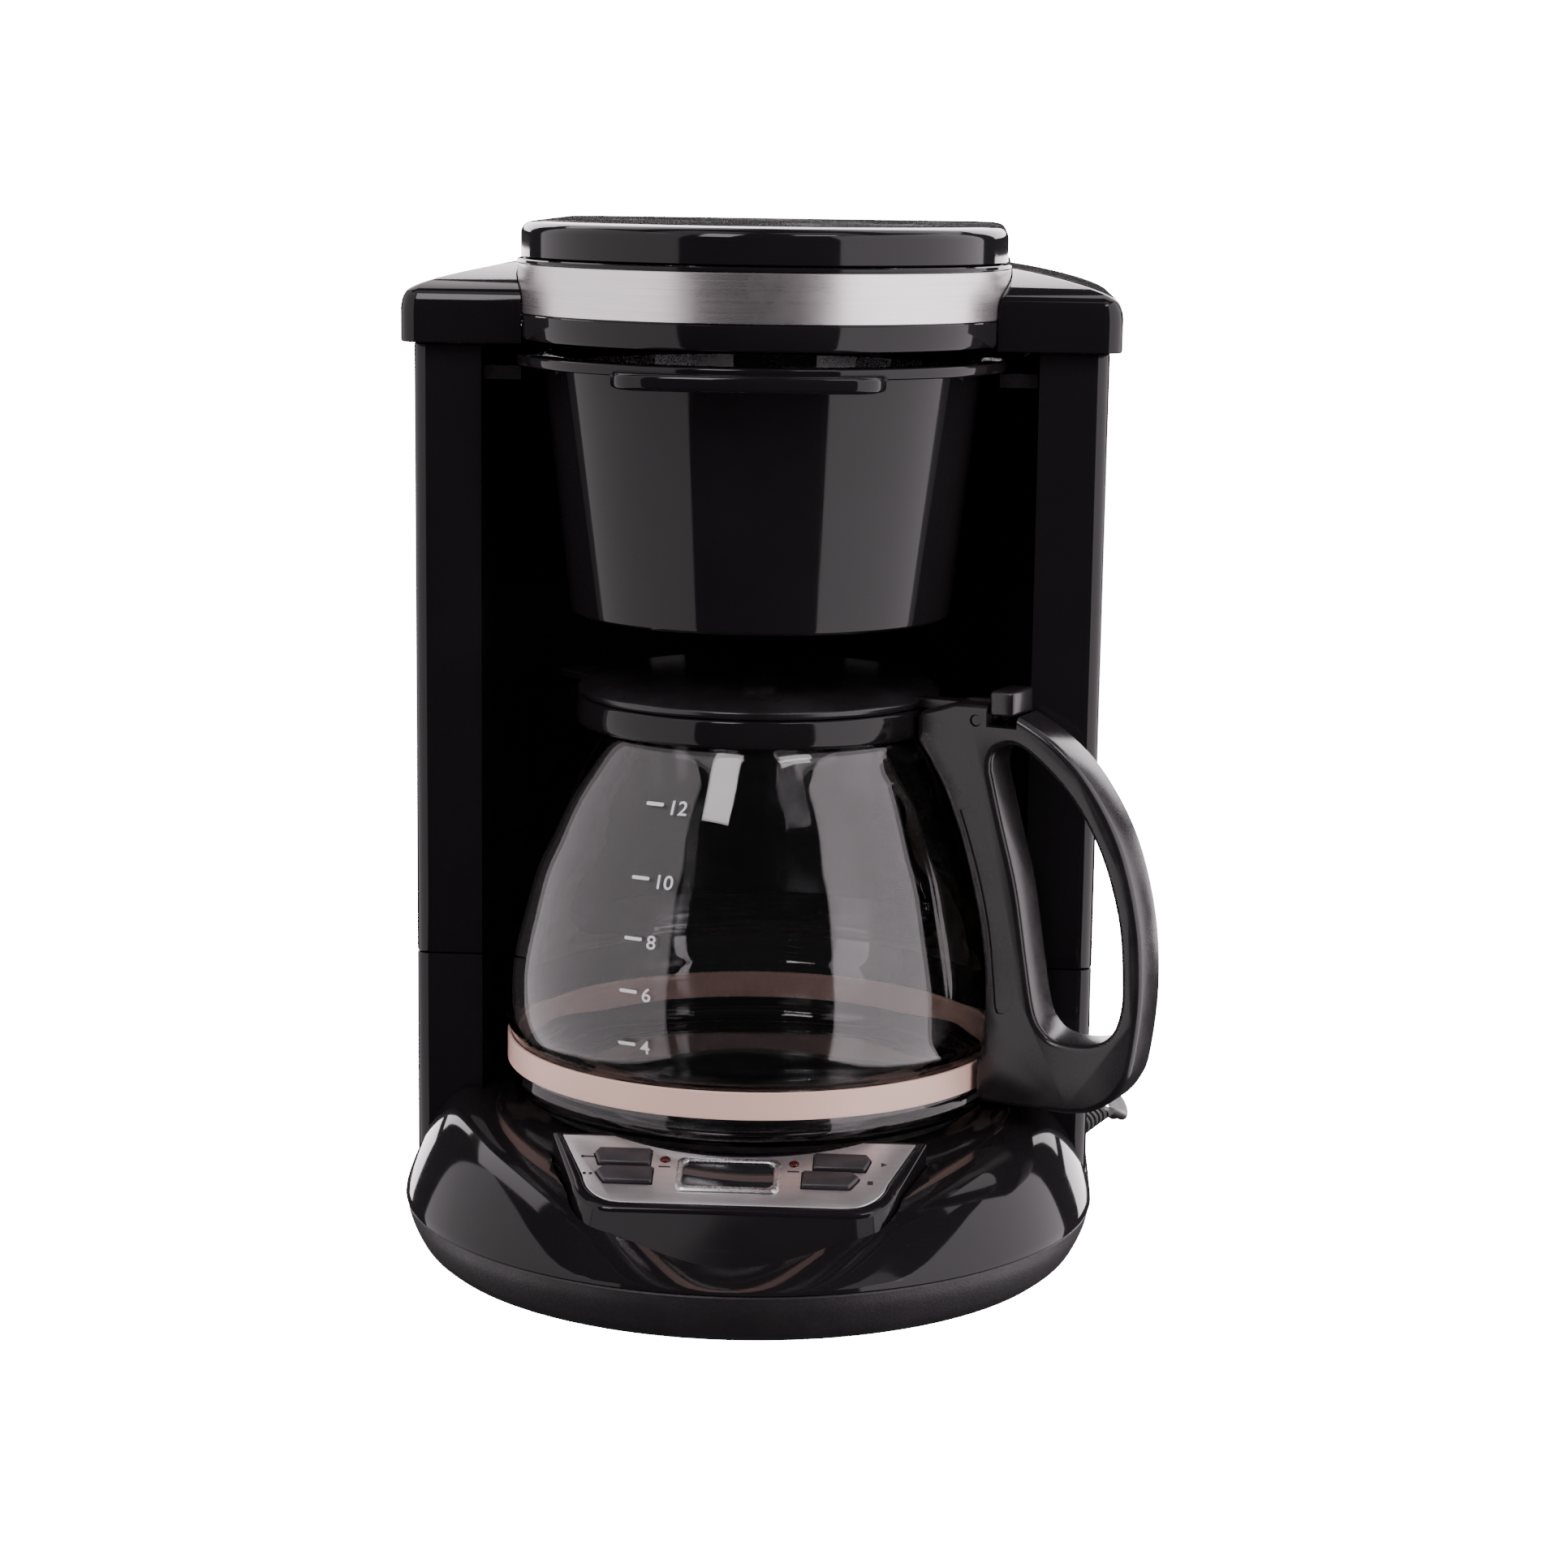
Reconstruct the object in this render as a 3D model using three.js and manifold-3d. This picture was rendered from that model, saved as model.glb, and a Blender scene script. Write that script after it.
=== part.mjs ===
// Drip coffee maker with a glass carafe, in millimetres, +Z up, +X to the right, +Y to the rear.
// Everything is laid out round the brew axis (x = 0, y = 0, z = 0 on the table) and the whole group is
// moved at the end, so that the origin is the middle of the footprint of the appliance without its cord.
import * as THREE from 'three';
import { mergeVertices } from 'three/addons/utils/BufferGeometryUtils.js';
import Module from 'manifold-3d';

const wasm = await Module();
wasm.setup();

// Driving dimensions
const GAP = 0.3; // between pieces that touch
const WALL = 2.4; // moulded wall thickness

const BASE = { halfWidth: 104, frontCentre: -21.5, rear: 121, corner: 44, seam: 19, bottom: 3 };
const TOWER = { halfWidth: 102.5, front: -20, rear: 119.5, frontCorner: 5, corner: 42, niche: 82 };
const TOWER_Z = { bottom: 24.3, seam: 89, top: 273 };
const COVER = { halfWidth: 106, front: -24, rear: 123, frontCorner: 6, corner: 45, bottom: 273.3 };
const HEAD = { radius: 73.3, rear: 98.3, corner: 14, bottom: 274.5, band: 282.3, top: 298 };
const LID = { inset: 1.1, bottom: 298.4, top: 309, hingeY: 92, hingeZ: 303 };
const PLATE = { radius: 64, top: 44.7, hole: 68, rim: 43 };
const CARAFE = { turn: -23, wall: 2.2, width: 17, pinX: 75, pinZ: 167 };
const BASKET = { floor: 193, top: 269, bottomRadius: 57.5, topRadius: 66, flange: 74, flangeZ: 267 };
const PANEL = { y: -81.2, z: 41.3, tilt: 24, rearHalf: 51.5, frontHalf: 44, half: 14.4, arc: 95, arcCentre: 19.8 };
const TILT_COS = Math.cos(THREE.MathUtils.degToRad(PANEL.tilt));
const BUTTON = { width: 16.4, height: 6.8, proud: 1.3 };
const BUTTONS = [
  { name: 'button_hour', x: -33, y: 4.9 },
  { name: 'button_minute', x: -32, y: -2.9 },
  { name: 'button_program', x: 30.5, y: 4.9 },
  { name: 'button_set', x: 27.5, y: -2.9 },
];
const FOOT_PLACES = [[-68, -60], [68, -60], [-72, 88], [72, 88]];
const SCREW_PLACES = [[-48, -84], [48, -84], [-54, 106], [54, 106]];
const CORD = { width: 6.2, thickness: 3.2, coilInner: 26.7, coilOuter: 46.5, coilX: 67, coilY: 171 };
const GLAND = { x: 99, y: 84, z: 8.5, turn: 62, length: 24 };

// Materials
const slots = {
  gloss_black: { color: 0x0b0a0b, roughness: 0.08, metalness: 0 },
  satin_black: { color: 0x141314, roughness: 0.4, metalness: 0 },
  matte_black: { color: 0x1b1a1b, roughness: 0.6, metalness: 0 },
  brushed_steel: { color: 0xb9b1b0, roughness: 0.32, metalness: 1 },
  carafe_glass: { color: 0xdfe6e8, roughness: 0.03, metalness: 0, transparent: true, opacity: 0.35 },
  rose_band: { color: 0xe8c8be, roughness: 0.35, metalness: 0.2 },
  dark_display: { color: 0x15171a, roughness: 0.1, metalness: 0 },
  button_grey: { color: 0x2c2a2c, roughness: 0.5, metalness: 0 },
  led_red: { color: 0x5a1612, roughness: 0.2, metalness: 0 },
  silicone: { color: 0xb9b4ac, roughness: 0.5, metalness: 0 },
  rubber: { color: 0x202020, roughness: 0.8, metalness: 0 },
  aluminium: { color: 0xa9abad, roughness: 0.4, metalness: 1 },
  plate_black: { color: 0x121212, roughness: 0.45, metalness: 0.1 },
  steel: { color: 0x9a9c9e, roughness: 0.3, metalness: 1 },
  tank_plastic: { color: 0xc9d0d4, roughness: 0.3, metalness: 0 },
  board_green: { color: 0x1f5a34, roughness: 0.5, metalness: 0 },
  cord_black: { color: 0x161516, roughness: 0.5, metalness: 0 },
};
const materials = Object.fromEntries(Object.entries(slots).map(
  ([name, look]) => [name, new THREE.MeshStandardMaterial({ name, ...look })]));

// Solids
function toSolid(geometry) {
  const bare = geometry.index ? geometry.toNonIndexed() : geometry.clone();
  for (const name of Object.keys(bare.attributes)) {
    if (name !== 'position') bare.deleteAttribute(name);
  }
  const merged = mergeVertices(bare, 1e-4);
  const points = Float32Array.from(merged.attributes.position.array);
  const corners = [];
  let volume = 0;
  const [a, b, c] = [new THREE.Vector3(), new THREE.Vector3(), new THREE.Vector3()];
  for (let i = 0; i < merged.index.count; i += 3) {
    const [p, q, r] = [0, 1, 2].map((k) => merged.index.getX(i + k));
    if (p === q || q === r || r === p) continue;
    corners.push(p, q, r);
    a.fromArray(points, p * 3);
    b.fromArray(points, q * 3);
    c.fromArray(points, r * 3);
    volume += a.dot(b.cross(c));
  }
  if (volume < 0) corners.reverse();
  return new wasm.Manifold(new wasm.Mesh({
    numProp: 3, vertProperties: points, triVerts: Uint32Array.from(corners),
  }));
}

function toGeometry(solid) {
  const mesh = solid.getMesh();
  const geometry = new THREE.BufferGeometry();
  geometry.setAttribute('position', new THREE.BufferAttribute(mesh.vertProperties, 3));
  geometry.setIndex(new THREE.BufferAttribute(mesh.triVerts, 1));
  geometry.computeVertexNormals();
  return geometry;
}

const box = (x0, y0, z0, x1, y1, z1) => toSolid(
  new THREE.BoxGeometry(x1 - x0, y1 - y0, z1 - z0).translate((x0 + x1) / 2, (y0 + y1) / 2, (z0 + z1) / 2));

const rod = (x, y, z0, z1, radius, sides = 16) => toSolid(
  new THREE.CylinderGeometry(radius, radius, z1 - z0, sides).rotateX(Math.PI / 2).translate(x, y, (z0 + z1) / 2));

const lathe = (profile, segments = 32) => toSolid(new THREE.LatheGeometry(
  [...profile, profile[0]].map(([r, z]) => new THREE.Vector2(r, z)), segments).rotateX(Math.PI / 2));

function extrude(outline, z0, z1, holes = [], bevel = 0) {
  const shape = new THREE.Shape(outline);
  holes.forEach((hole) => shape.holes.push(new THREE.Path(hole)));
  const geometry = new THREE.ExtrudeGeometry(shape, {
    depth: z1 - z0 - 2 * bevel, bevelEnabled: bevel > 0, bevelSize: bevel, bevelOffset: -bevel,
    bevelThickness: bevel, bevelSegments: 1, curveSegments: 12,
  });
  return toSolid(geometry.translate(0, 0, z0 + bevel));
}

function sweep(points, outline, steps) {
  const path = new THREE.CatmullRomCurve3(points.map((p) => new THREE.Vector3(...p)), false, 'centripetal');
  return toSolid(new THREE.ExtrudeGeometry(new THREE.Shape(outline), {
    steps, bevelEnabled: false, extrudePath: path,
  }));
}

function circle(radius, sides, x = 0, y = 0) {
  return Array.from({ length: sides }, (_, i) => {
    const angle = (2 * Math.PI * i) / sides;
    return new THREE.Vector2(x + radius * Math.cos(angle), y + radius * Math.sin(angle));
  });
}

function arc(points, x, y, radius, from, to, steps) {
  for (let i = 0; i <= steps; i++) {
    const angle = THREE.MathUtils.degToRad(from + ((to - from) * i) / steps);
    points.push(new THREE.Vector2(x + radius * Math.cos(angle), y + radius * Math.sin(angle)));
  }
}

// Points between two ends of a straight edge, without the ends
function edge(points, from, to, steps) {
  for (let i = 1; i < steps; i++) points.push(from.clone().lerp(to, i / steps));
}

// Plan with a half-round front, straight sides and rounded rear corners
function roundFrontPlan({ halfWidth, frontCentre = 0, rear, corner }, inset = 0, sideSteps = 1) {
  const width = halfWidth - inset;
  const radius = Math.max(corner - inset, 1);
  const far = rear - inset;
  const points = [];
  const at = (x, y) => new THREE.Vector2(x, y);
  arc(points, 0, frontCentre, width, 180, 360, 24);
  edge(points, at(width, frontCentre), at(width, far - radius), sideSteps);
  arc(points, width - radius, far - radius, radius, 0, 90, 4);
  edge(points, at(width - radius, far), at(radius - width, far), sideSteps);
  arc(points, radius - width, far - radius, radius, 90, 180, 4);
  edge(points, at(-width, far - radius), at(-width, frontCentre), sideSteps);
  return points;
}

// Plan with a straight front and rounded corners
function squareFrontPlan({ halfWidth, front, rear, frontCorner, corner }, inset = 0) {
  const width = halfWidth - inset;
  const near = Math.max(frontCorner - inset, 1);
  const far = Math.max(corner - inset, 1);
  const points = [];
  arc(points, near - width, front + inset + near, near, 180, 270, 3);
  arc(points, width - near, front + inset + near, near, 270, 360, 3);
  arc(points, width - far, rear - inset - far, far, 0, 90, 6);
  arc(points, far - width, rear - inset - far, far, 90, 180, 6);
  return points;
}

// Plan of the tower: a wall of even depth that wraps round the carafe's niche
function towerPlan(inset = 0) {
  const width = TOWER.halfWidth - inset;
  const niche = TOWER.niche + inset;
  const near = Math.max(TOWER.frontCorner - inset, 1);
  const far = TOWER.corner - inset;
  const points = [];
  arc(points, width - near, TOWER.front + inset + near, near, 270, 360, 3);
  arc(points, width - far, TOWER.rear - inset - far, far, 0, 90, 6);
  arc(points, far - width, TOWER.rear - inset - far, far, 90, 180, 6);
  arc(points, near - width, TOWER.front + inset + near, near, 180, 270, 3);
  points.push(new THREE.Vector2(-niche, TOWER.front + inset));
  arc(points, 0, 0, niche, 180, 0, 28);
  points.push(new THREE.Vector2(niche, TOWER.front + inset));
  return points;
}

const atHeight = (plan, z) => plan.map((p) => new THREE.Vector3(p.x, p.y, z));

// Skin through loops of equal length; a ring joins its last loop to its first, and otherwise both ends close
function loft(loops, ring = false) {
  const count = loops[0].length;
  const points = loops.flat();
  const corners = [];
  const spans = ring ? loops.length : loops.length - 1;
  for (let j = 0; j < spans; j++) {
    const low = j * count;
    const high = ((j + 1) % loops.length) * count;
    for (let i = 0; i < count; i++) {
      const next = (i + 1) % count;
      corners.push(low + i, low + next, high + next, low + i, high + next, high + i);
    }
  }
  if (!ring) {
    [[0, true], [loops.length - 1, false]].forEach(([j, under]) => {
      const centre = loops[j].reduce((sum, p) => sum.add(p), new THREE.Vector3()).divideScalar(count);
      const hub = points.push(centre) - 1;
      for (let i = 0; i < count; i++) {
        const edge = [j * count + i, j * count + ((i + 1) % count)];
        corners.push(hub, ...(under ? edge.reverse() : edge));
      }
    });
  }
  const geometry = new THREE.BufferGeometry().setFromPoints(points);
  geometry.setIndex(corners);
  return toSolid(geometry);
}

// Scene
const group = new THREE.Group();
const appliance = new THREE.Group();
const supply = new THREE.Group();
const carafe = new THREE.Group();
const panel = new THREE.Group();
carafe.rotation.z = THREE.MathUtils.degToRad(CARAFE.turn);
panel.position.set(0, PANEL.y, PANEL.z);
panel.rotation.x = THREE.MathUtils.degToRad(PANEL.tilt);
appliance.add(carafe, panel);
group.add(appliance, supply);

function add(name, solid, slot, parent = appliance) {
  const mesh = new THREE.Mesh(toGeometry(solid), materials[slot]);
  mesh.name = name;
  parent.add(mesh);
  return mesh;
}

// Control pod: a wedge whose tilted top carries the panel
function panelPlan(grow = 0, z = 0) {
  const corner = 9;
  const [rear, front] = [PANEL.rearHalf + grow, PANEL.frontHalf + grow];
  const low = -PANEL.half - grow;
  const points = [];
  arc(points, -front + corner, low + corner, corner, 190, 270, 4);
  arc(points, front - corner, low + corner, corner, 270, 350, 4);
  points.push(new THREE.Vector2(rear, PANEL.half + grow / 3));
  // The rear edge is hollowed in plan, so that it follows the carafe; it grows less than the other edges
  const radius = PANEL.arc - grow / 3;
  const back = PANEL.y + (PANEL.half + grow / 3) * TILT_COS;
  const reach = Math.sqrt(radius ** 2 - (back - PANEL.arcCentre) ** 2);
  for (let i = 0; i <= 8; i++) {
    const x = reach - (2 * reach * i) / 8;
    points.push(new THREE.Vector2(x, (PANEL.arcCentre - Math.sqrt(radius ** 2 - x * x) - PANEL.y) / TILT_COS));
  }
  points.push(new THREE.Vector2(-rear, PANEL.half + grow / 3));
  return points.map((p) => new THREE.Vector3(p.x, p.y, z));
}

function podBody(grow, lower, sunk) {
  const top = panelPlan(3 + grow, -lower).map((p) => p.clone().applyEuler(panel.rotation).add(panel.position));
  const foot = panelPlan(3 + grow).map((p) => {
    const ahead = THREE.MathUtils.clamp((2 - p.y) / 18, 0, 1);
    return new THREE.Vector3(p.x * (1 + 0.06 * ahead), PANEL.y + p.y * TILT_COS - 15 * ahead, 17.5 - sunk);
  });
  return loft([foot, top]);
}

const recess = extrude(panelPlan(GAP), -1.5, 6);
const opening = extrude(panelPlan(-2.2), -14, 6);
const turned = (solid) => toSolid(toGeometry(solid).applyMatrix4(
  new THREE.Matrix4().compose(panel.position, panel.quaternion, new THREE.Vector3(1, 1, 1))));
const podOuter = podBody(0, 0, 0).intersect(box(-80, -125, 19.3, 80, -40, 60));
const podCavity = podBody(-WALL, 3.6, 3.6);
add('control_pod', podOuter.subtract(podCavity).subtract(turned(recess)).subtract(turned(opening)), 'gloss_black');

// Base: tapered skirt, domed deck, bottom cover, feet and screws
const skirtLoops = [
  atHeight(roundFrontPlan(BASE, 9), BASE.bottom),
  atHeight(roundFrontPlan(BASE, 3), 10),
  atHeight(roundFrontPlan(BASE, 0.4), BASE.seam - GAP),
  atHeight(roundFrontPlan(BASE, 0.4 + WALL), BASE.seam - GAP),
  atHeight(roundFrontPlan(BASE, 3 + WALL), 10),
  atHeight(roundFrontPlan(BASE, 9 + WALL), BASE.bottom),
];
const glandFrame = new THREE.Matrix4().makeRotationZ(THREE.MathUtils.degToRad(GLAND.turn))
  .setPosition(GLAND.x, GLAND.y, GLAND.z);
const placed = (geometry) => toSolid(geometry.applyMatrix4(glandFrame));
const notch = placed(new THREE.BoxGeometry(26, 10.6, 10.6));
add('base_skirt', loft(skirtLoops, true).subtract(notch), 'matte_black');

const RIDGE = 0.5; // how far in from the rim the deck is highest
function deckBody(inset, drop) {
  const rim = roundFrontPlan(BASE, inset, 5);
  const loops = [atHeight(rim, BASE.seam - drop)];
  for (const t of [0.02, 0.1, 0.24, RIDGE, 0.76, 1]) {
    loops.push(rim.map((p) => {
      const inner = p.clone().setLength(PLATE.hole + inset);
      const side = (p.x / p.length()) ** 2;
      const crown = 36 + 12 * side - 14 * Math.exp(-side / 0.13); // low in front of the pod
      const rise = t < RIDGE ? Math.sin((Math.PI / 2) * (t / RIDGE)) ** 0.8 : 1;
      const fall = t < RIDGE ? 0 : THREE.MathUtils.smoothstep((t - RIDGE) / (1 - RIDGE), 0, 1);
      const domed = BASE.seam + 1 + (crown - BASE.seam - 1) * rise;
      const at = p.clone().lerp(inner, t);
      return new THREE.Vector3(at.x, at.y, domed + (PLATE.rim - domed) * fall - inset);
    }));
  }
  loops.push(atHeight(rim.map((p) => p.clone().setLength(PLATE.hole + inset)), BASE.seam - drop));
  return loft(loops, true);
}
const towerFoot = extrude(towerPlan(-GAP), TOWER_Z.bottom - GAP, 80);
add('base_deck', deckBody(0, 0).subtract(deckBody(WALL, 3)).subtract(towerFoot)
  .subtract(podBody(2 * GAP, -GAP, GAP)), 'gloss_black');

let bottomCover = extrude(roundFrontPlan(BASE, 9 + WALL + GAP), BASE.bottom + GAP, BASE.bottom + GAP + 2);
SCREW_PLACES.forEach(([x, y]) => {
  bottomCover = bottomCover.subtract(rod(x, y, 0, 10, 2));
});
add('bottom_cover', bottomCover.subtract(notch), 'matte_black');
FOOT_PLACES.forEach(([x, y], i) => {
  add(`foot_${i + 1}`, rod(x, y, 0, BASE.bottom, 8, 18), 'rubber');
});
SCREW_PLACES.forEach(([x, y], i) => {
  add(`base_screw_${i + 1}`, rod(x, y, 1.4, BASE.bottom, 3.4, 12).add(rod(x, y, 2.5, 15, 1.6, 8)), 'steel');
});

// Tower: lower and upper housing, tank and top cover
const shell = (z0, z1) => extrude(towerPlan(), z0, z1, [towerPlan(WALL)]);
add('lower_housing', shell(TOWER_Z.bottom, TOWER_Z.seam - GAP / 2), 'gloss_black');
add('upper_housing', shell(TOWER_Z.seam + GAP / 2, TOWER_Z.top), 'gloss_black');

const TANK = { bottom: 95, top: 266, right: 46, front: -8, floor: 2 };
const tankOuter = extrude(towerPlan(WALL + 0.6), TANK.bottom, TANK.top)
  .intersect(box(-120, TANK.front, 0, TANK.right, 140, 300));
const tankInner = extrude(towerPlan(WALL + 2.4), TANK.bottom + TANK.floor, TANK.top + 5)
  .intersect(box(-120, TANK.front + 2, 0, TANK.right - 2, 140, 300));
const OUTLET = { x: -40, y: 98 };
add('water_tank', tankOuter.subtract(tankInner).subtract(rod(OUTLET.x, OUTLET.y, 80, 100, 3.5)), 'tank_plastic');

function coverBody(inset) {
  const stages = [[0, COVER.bottom], [0, 284], [0.8, 287], [3.5, 289.4], [12, 292.4], [27, 295.6], [52, 299]];
  return loft(stages.map(([step, z], i) => atHeight(
    squareFrontPlan(COVER, step + inset), i === 0 ? z - inset : z - inset * 0.9)));
}
const headPlan = (inset) => roundFrontPlan({ ...HEAD, halfWidth: HEAD.radius }, inset);
add('top_cover', coverBody(0).subtract(coverBody(WALL)).subtract(extrude(headPlan(-GAP), 260, 320)),
  'gloss_black');

// Head: body, steel band, shower head, lid and its hinge
const RISER = { x: 60, y: 84 };
const groove = extrude(headPlan(-2), HEAD.band - GAP, HEAD.top - 1.2, [headPlan(1.3)])
  .subtract(box(-90, 60, 200, 90, 140, 320));
const hingeRod = (radius, x0, x1, sides = 16) => toSolid(
  new THREE.CylinderGeometry(radius, radius, x1 - x0, sides).rotateZ(Math.PI / 2)
    .translate((x0 + x1) / 2, LID.hingeY, LID.hingeZ));
const hingeEars = [-36, 30].map((x) => hingeRod(3.3, x, x + 6)
  .add(box(x, LID.hingeY - 3.3, 285, x + 6, LID.hingeY + 3.3, LID.hingeZ))
  .add(box(x, LID.hingeY - 3.3, 285, x + 6, HEAD.rear - 1.9, 289))).reduce((sum, ear) => sum.add(ear));
const pinBore = hingeRod(1.8, -50, 50);
const headBody = extrude(headPlan(0), HEAD.bottom, HEAD.top)
  .subtract(extrude(headPlan(WALL), HEAD.bottom + 2.2, HEAD.top + 1))
  .subtract(groove)
  .subtract(box(-80, 89.5, 289, 80, 120, 320))
  .add(hingeEars)
  .subtract(pinBore)
  .subtract(rod(0, 0, 260, 290, 30, 28))
  .subtract(rod(RISER.x, RISER.y, 260, 290, 5.6))
  .subtract(box(-50, 86, 260, 44, 94.5, 280));
add('head_body', headBody, 'gloss_black');
add('head_band', extrude(headPlan(0.1), HEAD.band, HEAD.top - 1.5, [headPlan(0.95)])
  .subtract(box(-90, 59.5, 200, 90, 140, 320)), 'brushed_steel');

let shower = lathe([
  [0, 272.4], [29.4, 272.4], [29.4, 277], [34, 277], [34, 279], [27, 279], [27, 274.4], [0, 274.4],
], 24);
for (let i = 0; i < 8; i++) {
  const angle = (i * Math.PI) / 4;
  const reach = i % 2 ? 22 : 12;
  shower = shower.subtract(rod(reach * Math.cos(angle), reach * Math.sin(angle), 260, 290, 1.5, 6));
}
add('shower_head', shower, 'satin_black');

const lidPlan = (inset) => headPlan(LID.inset + inset);
const lidShell = (inset, drop) => loft([
  [0, LID.bottom - drop], [0, 305], [0.9, 307.2], [2.4, 308.4], [5, LID.top],
].map(([step, z], i) => atHeight(lidPlan(step + inset), i === 0 ? z : z - inset)));
const lidLugs = [-43, 37.5].map((x) => box(x, 88, 299.5, x + 5.5, 95, 307.4)).reduce((sum, lug) => sum.add(lug));
const lidRelief = box(-37.2, 84, 290, -28.8, 97.6, 306.6).add(box(28.8, 84, 290, 37.2, 97.6, 306.6));
add('lid', lidShell(0, 0).subtract(lidShell(WALL, 2)).add(lidLugs).subtract(pinBore).subtract(lidRelief),
  'gloss_black');
add('lid_hinge_pin', hingeRod(1.5, -44, 44, 14), 'steel');

// Brew basket on its rails, with filter and drip valve
function flangePlan() {
  const reach = 80;
  const side = Math.sqrt(reach ** 2 - BASKET.flange ** 2);
  const turn = THREE.MathUtils.radToDeg(Math.atan2(side, BASKET.flange));
  const points = [];
  arc(points, 0, 0, BASKET.flange, 180, 360, 20);
  arc(points, 0, 0, reach, turn, 180 - turn, 10);
  return points;
}
const cup = lathe([
  [6.5, BASKET.floor], [8.6, BASKET.floor], [8.6, 188], [11, 188], [11, BASKET.floor],
  [BASKET.bottomRadius - 1, BASKET.floor], [BASKET.bottomRadius, BASKET.floor + 1.4],
  [BASKET.topRadius, BASKET.top], [BASKET.topRadius - 2.2, BASKET.top],
  [BASKET.bottomRadius - 2.2, BASKET.floor + 2.2], [6.5, BASKET.floor + 2.2],
], 30);
const tab = new THREE.Shape();
tab.moveTo(-39, -62);
tab.lineTo(-39, -66);
tab.quadraticCurveTo(-37, -76, -30, -78.5);
tab.quadraticCurveTo(0, -84.5, 30, -78.5);
tab.quadraticCurveTo(37, -76, 39, -66);
tab.lineTo(39, -62);
const inside = rod(0, 0, 200, 300, 64.9, 30);
const basket = cup
  .add(extrude(flangePlan(), BASKET.flangeZ, BASKET.flangeZ + 3.2).subtract(inside))
  .add(extrude(tab.getPoints(6), BASKET.flangeZ - 3.2, BASKET.flangeZ + 1.6).subtract(inside));
add('brew_basket', basket, 'gloss_black');
function nichePlan() {
  const radius = TOWER.niche - GAP;
  const points = [new THREE.Vector2(radius, -60)];
  arc(points, 0, 0, radius, 0, 180, 32);
  points.push(new THREE.Vector2(-radius, -60));
  return points;
}
[['left', -1], ['right', 1]].forEach(([name, side]) => {
  const [x0, x1] = [side * 70.5, side * 84].sort((a, b) => a - b);
  const blank = box(x0, TOWER.front + 3, 262.6, x1, 32, 266.6);
  add(`basket_rail_${name}`, blank.intersect(extrude(nichePlan(), 250, 280)), 'satin_black');
});
add('filter_insert', lathe([
  [0, 213], [53.4, 213], [60.6, 265.6], [62.6, 265.6], [62.6, 267], [59.4, 267], [52.2, 214.4], [0, 214.4],
], 28), 'steel');
add('drip_valve', lathe([
  [0, 187], [4.6, 187], [5, 188], [5, 200], [9, 200], [9, 202], [2.6, 202], [2.6, 208], [0, 208],
], 20), 'silicone');
add('valve_seal', lathe([[5.3, 198.9], [8.8, 198.9], [8.8, 199.7], [5.3, 199.7]], 20), 'rubber');
const coil = Array.from({ length: 33 }, (_, i) => {
  const angle = (i * Math.PI) / 4;
  return [4.4 * Math.cos(angle), 4.4 * Math.sin(angle), 203 + (i / 32) * 8.6];
});
add('valve_spring', sweep(coil, circle(0.5, 4), 40), 'steel');

// Carafe, in its own frame: +X towards the handle
const glass = [
  [0, 47.4], [52, 46.6], [61, 45.1], [68, 45.2], [73, 46.6], [76, 50], [75.1, 54.4], [75, 64], [76.6, 67.5],
  [78, 74], [78, 86], [75.7, 101.5], [72, 119], [67.7, 131], [62.5, 144], [55.8, 156.5], [52.6, 161],
  [51.6, 163.6], [51.6, 167.4], [49.4, 167.4], [49.4, 163.2], [50.6, 159.6], [53.8, 155.2], [60.4, 143],
  [65.5, 130], [69.7, 118.4], [73.4, 101], [75.7, 86], [75.7, 74.6], [74.4, 68.4], [72.8, 64], [72.9, 54.4],
  [73.6, 51.2], [71.8, 49.2], [67.6, 48], [61, 47.8], [52, 49.2], [0, 50],
];
add('carafe_glass', lathe(glass, 30), 'carafe_glass', carafe);
add('carafe_band', lathe([[75.5, 55.2], [76.3, 55.2], [76.3, 63.4], [75.5, 63.4]], 30), 'rose_band', carafe);
const beak = (back, tip, backHalf, tipHalf, z0, z1) => extrude([
  [back, backHalf], [tip, tipHalf], [tip - 2, 0], [tip, -tipHalf], [back, -backHalf],
].map(([x, y]) => new THREE.Vector2(x, y)), z0, z1);
const bore = rod(0, 0, 150, 180, 53, 30);
add('carafe_collar', lathe([
  [54.4, 159.8], [55.4, 160], [55.6, 161.4], [55.2, 167], [54.6, 168], [52.2, 168], [52.2, 163.4],
], 30).add(beak(-50, -64, 13, 4, 162.5, 168).subtract(bore).subtract(beak(-50, -63, 9, 2, 164.6, 170))),
'satin_black', carafe);

const handleOutline = new THREE.Shape();
handleOutline.moveTo(56.2, 168);
handleOutline.lineTo(56.2, 159.5);
handleOutline.splineThru([
  [59.5, 155], [64.8, 146], [70, 133.5], [74.4, 119], [78, 103], [79.6, 88], [79.4, 68],
].map(([x, y]) => new THREE.Vector2(x, y)));
handleOutline.lineTo(77.4, 65);
handleOutline.lineTo(77.4, 53.5);
handleOutline.lineTo(80, 52);
handleOutline.lineTo(108, 52.4);
handleOutline.splineThru([
  [120, 57], [126.6, 70], [128.8, 90], [127.2, 112], [121, 134], [111, 151], [100, 162], [88, 169],
].map(([x, y]) => new THREE.Vector2(x, y)));
handleOutline.lineTo(78.6, 171.6);
handleOutline.lineTo(68, 171.6);
const fingerGap = new THREE.Shape();
fingerGap.moveTo(80, 152);
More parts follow.
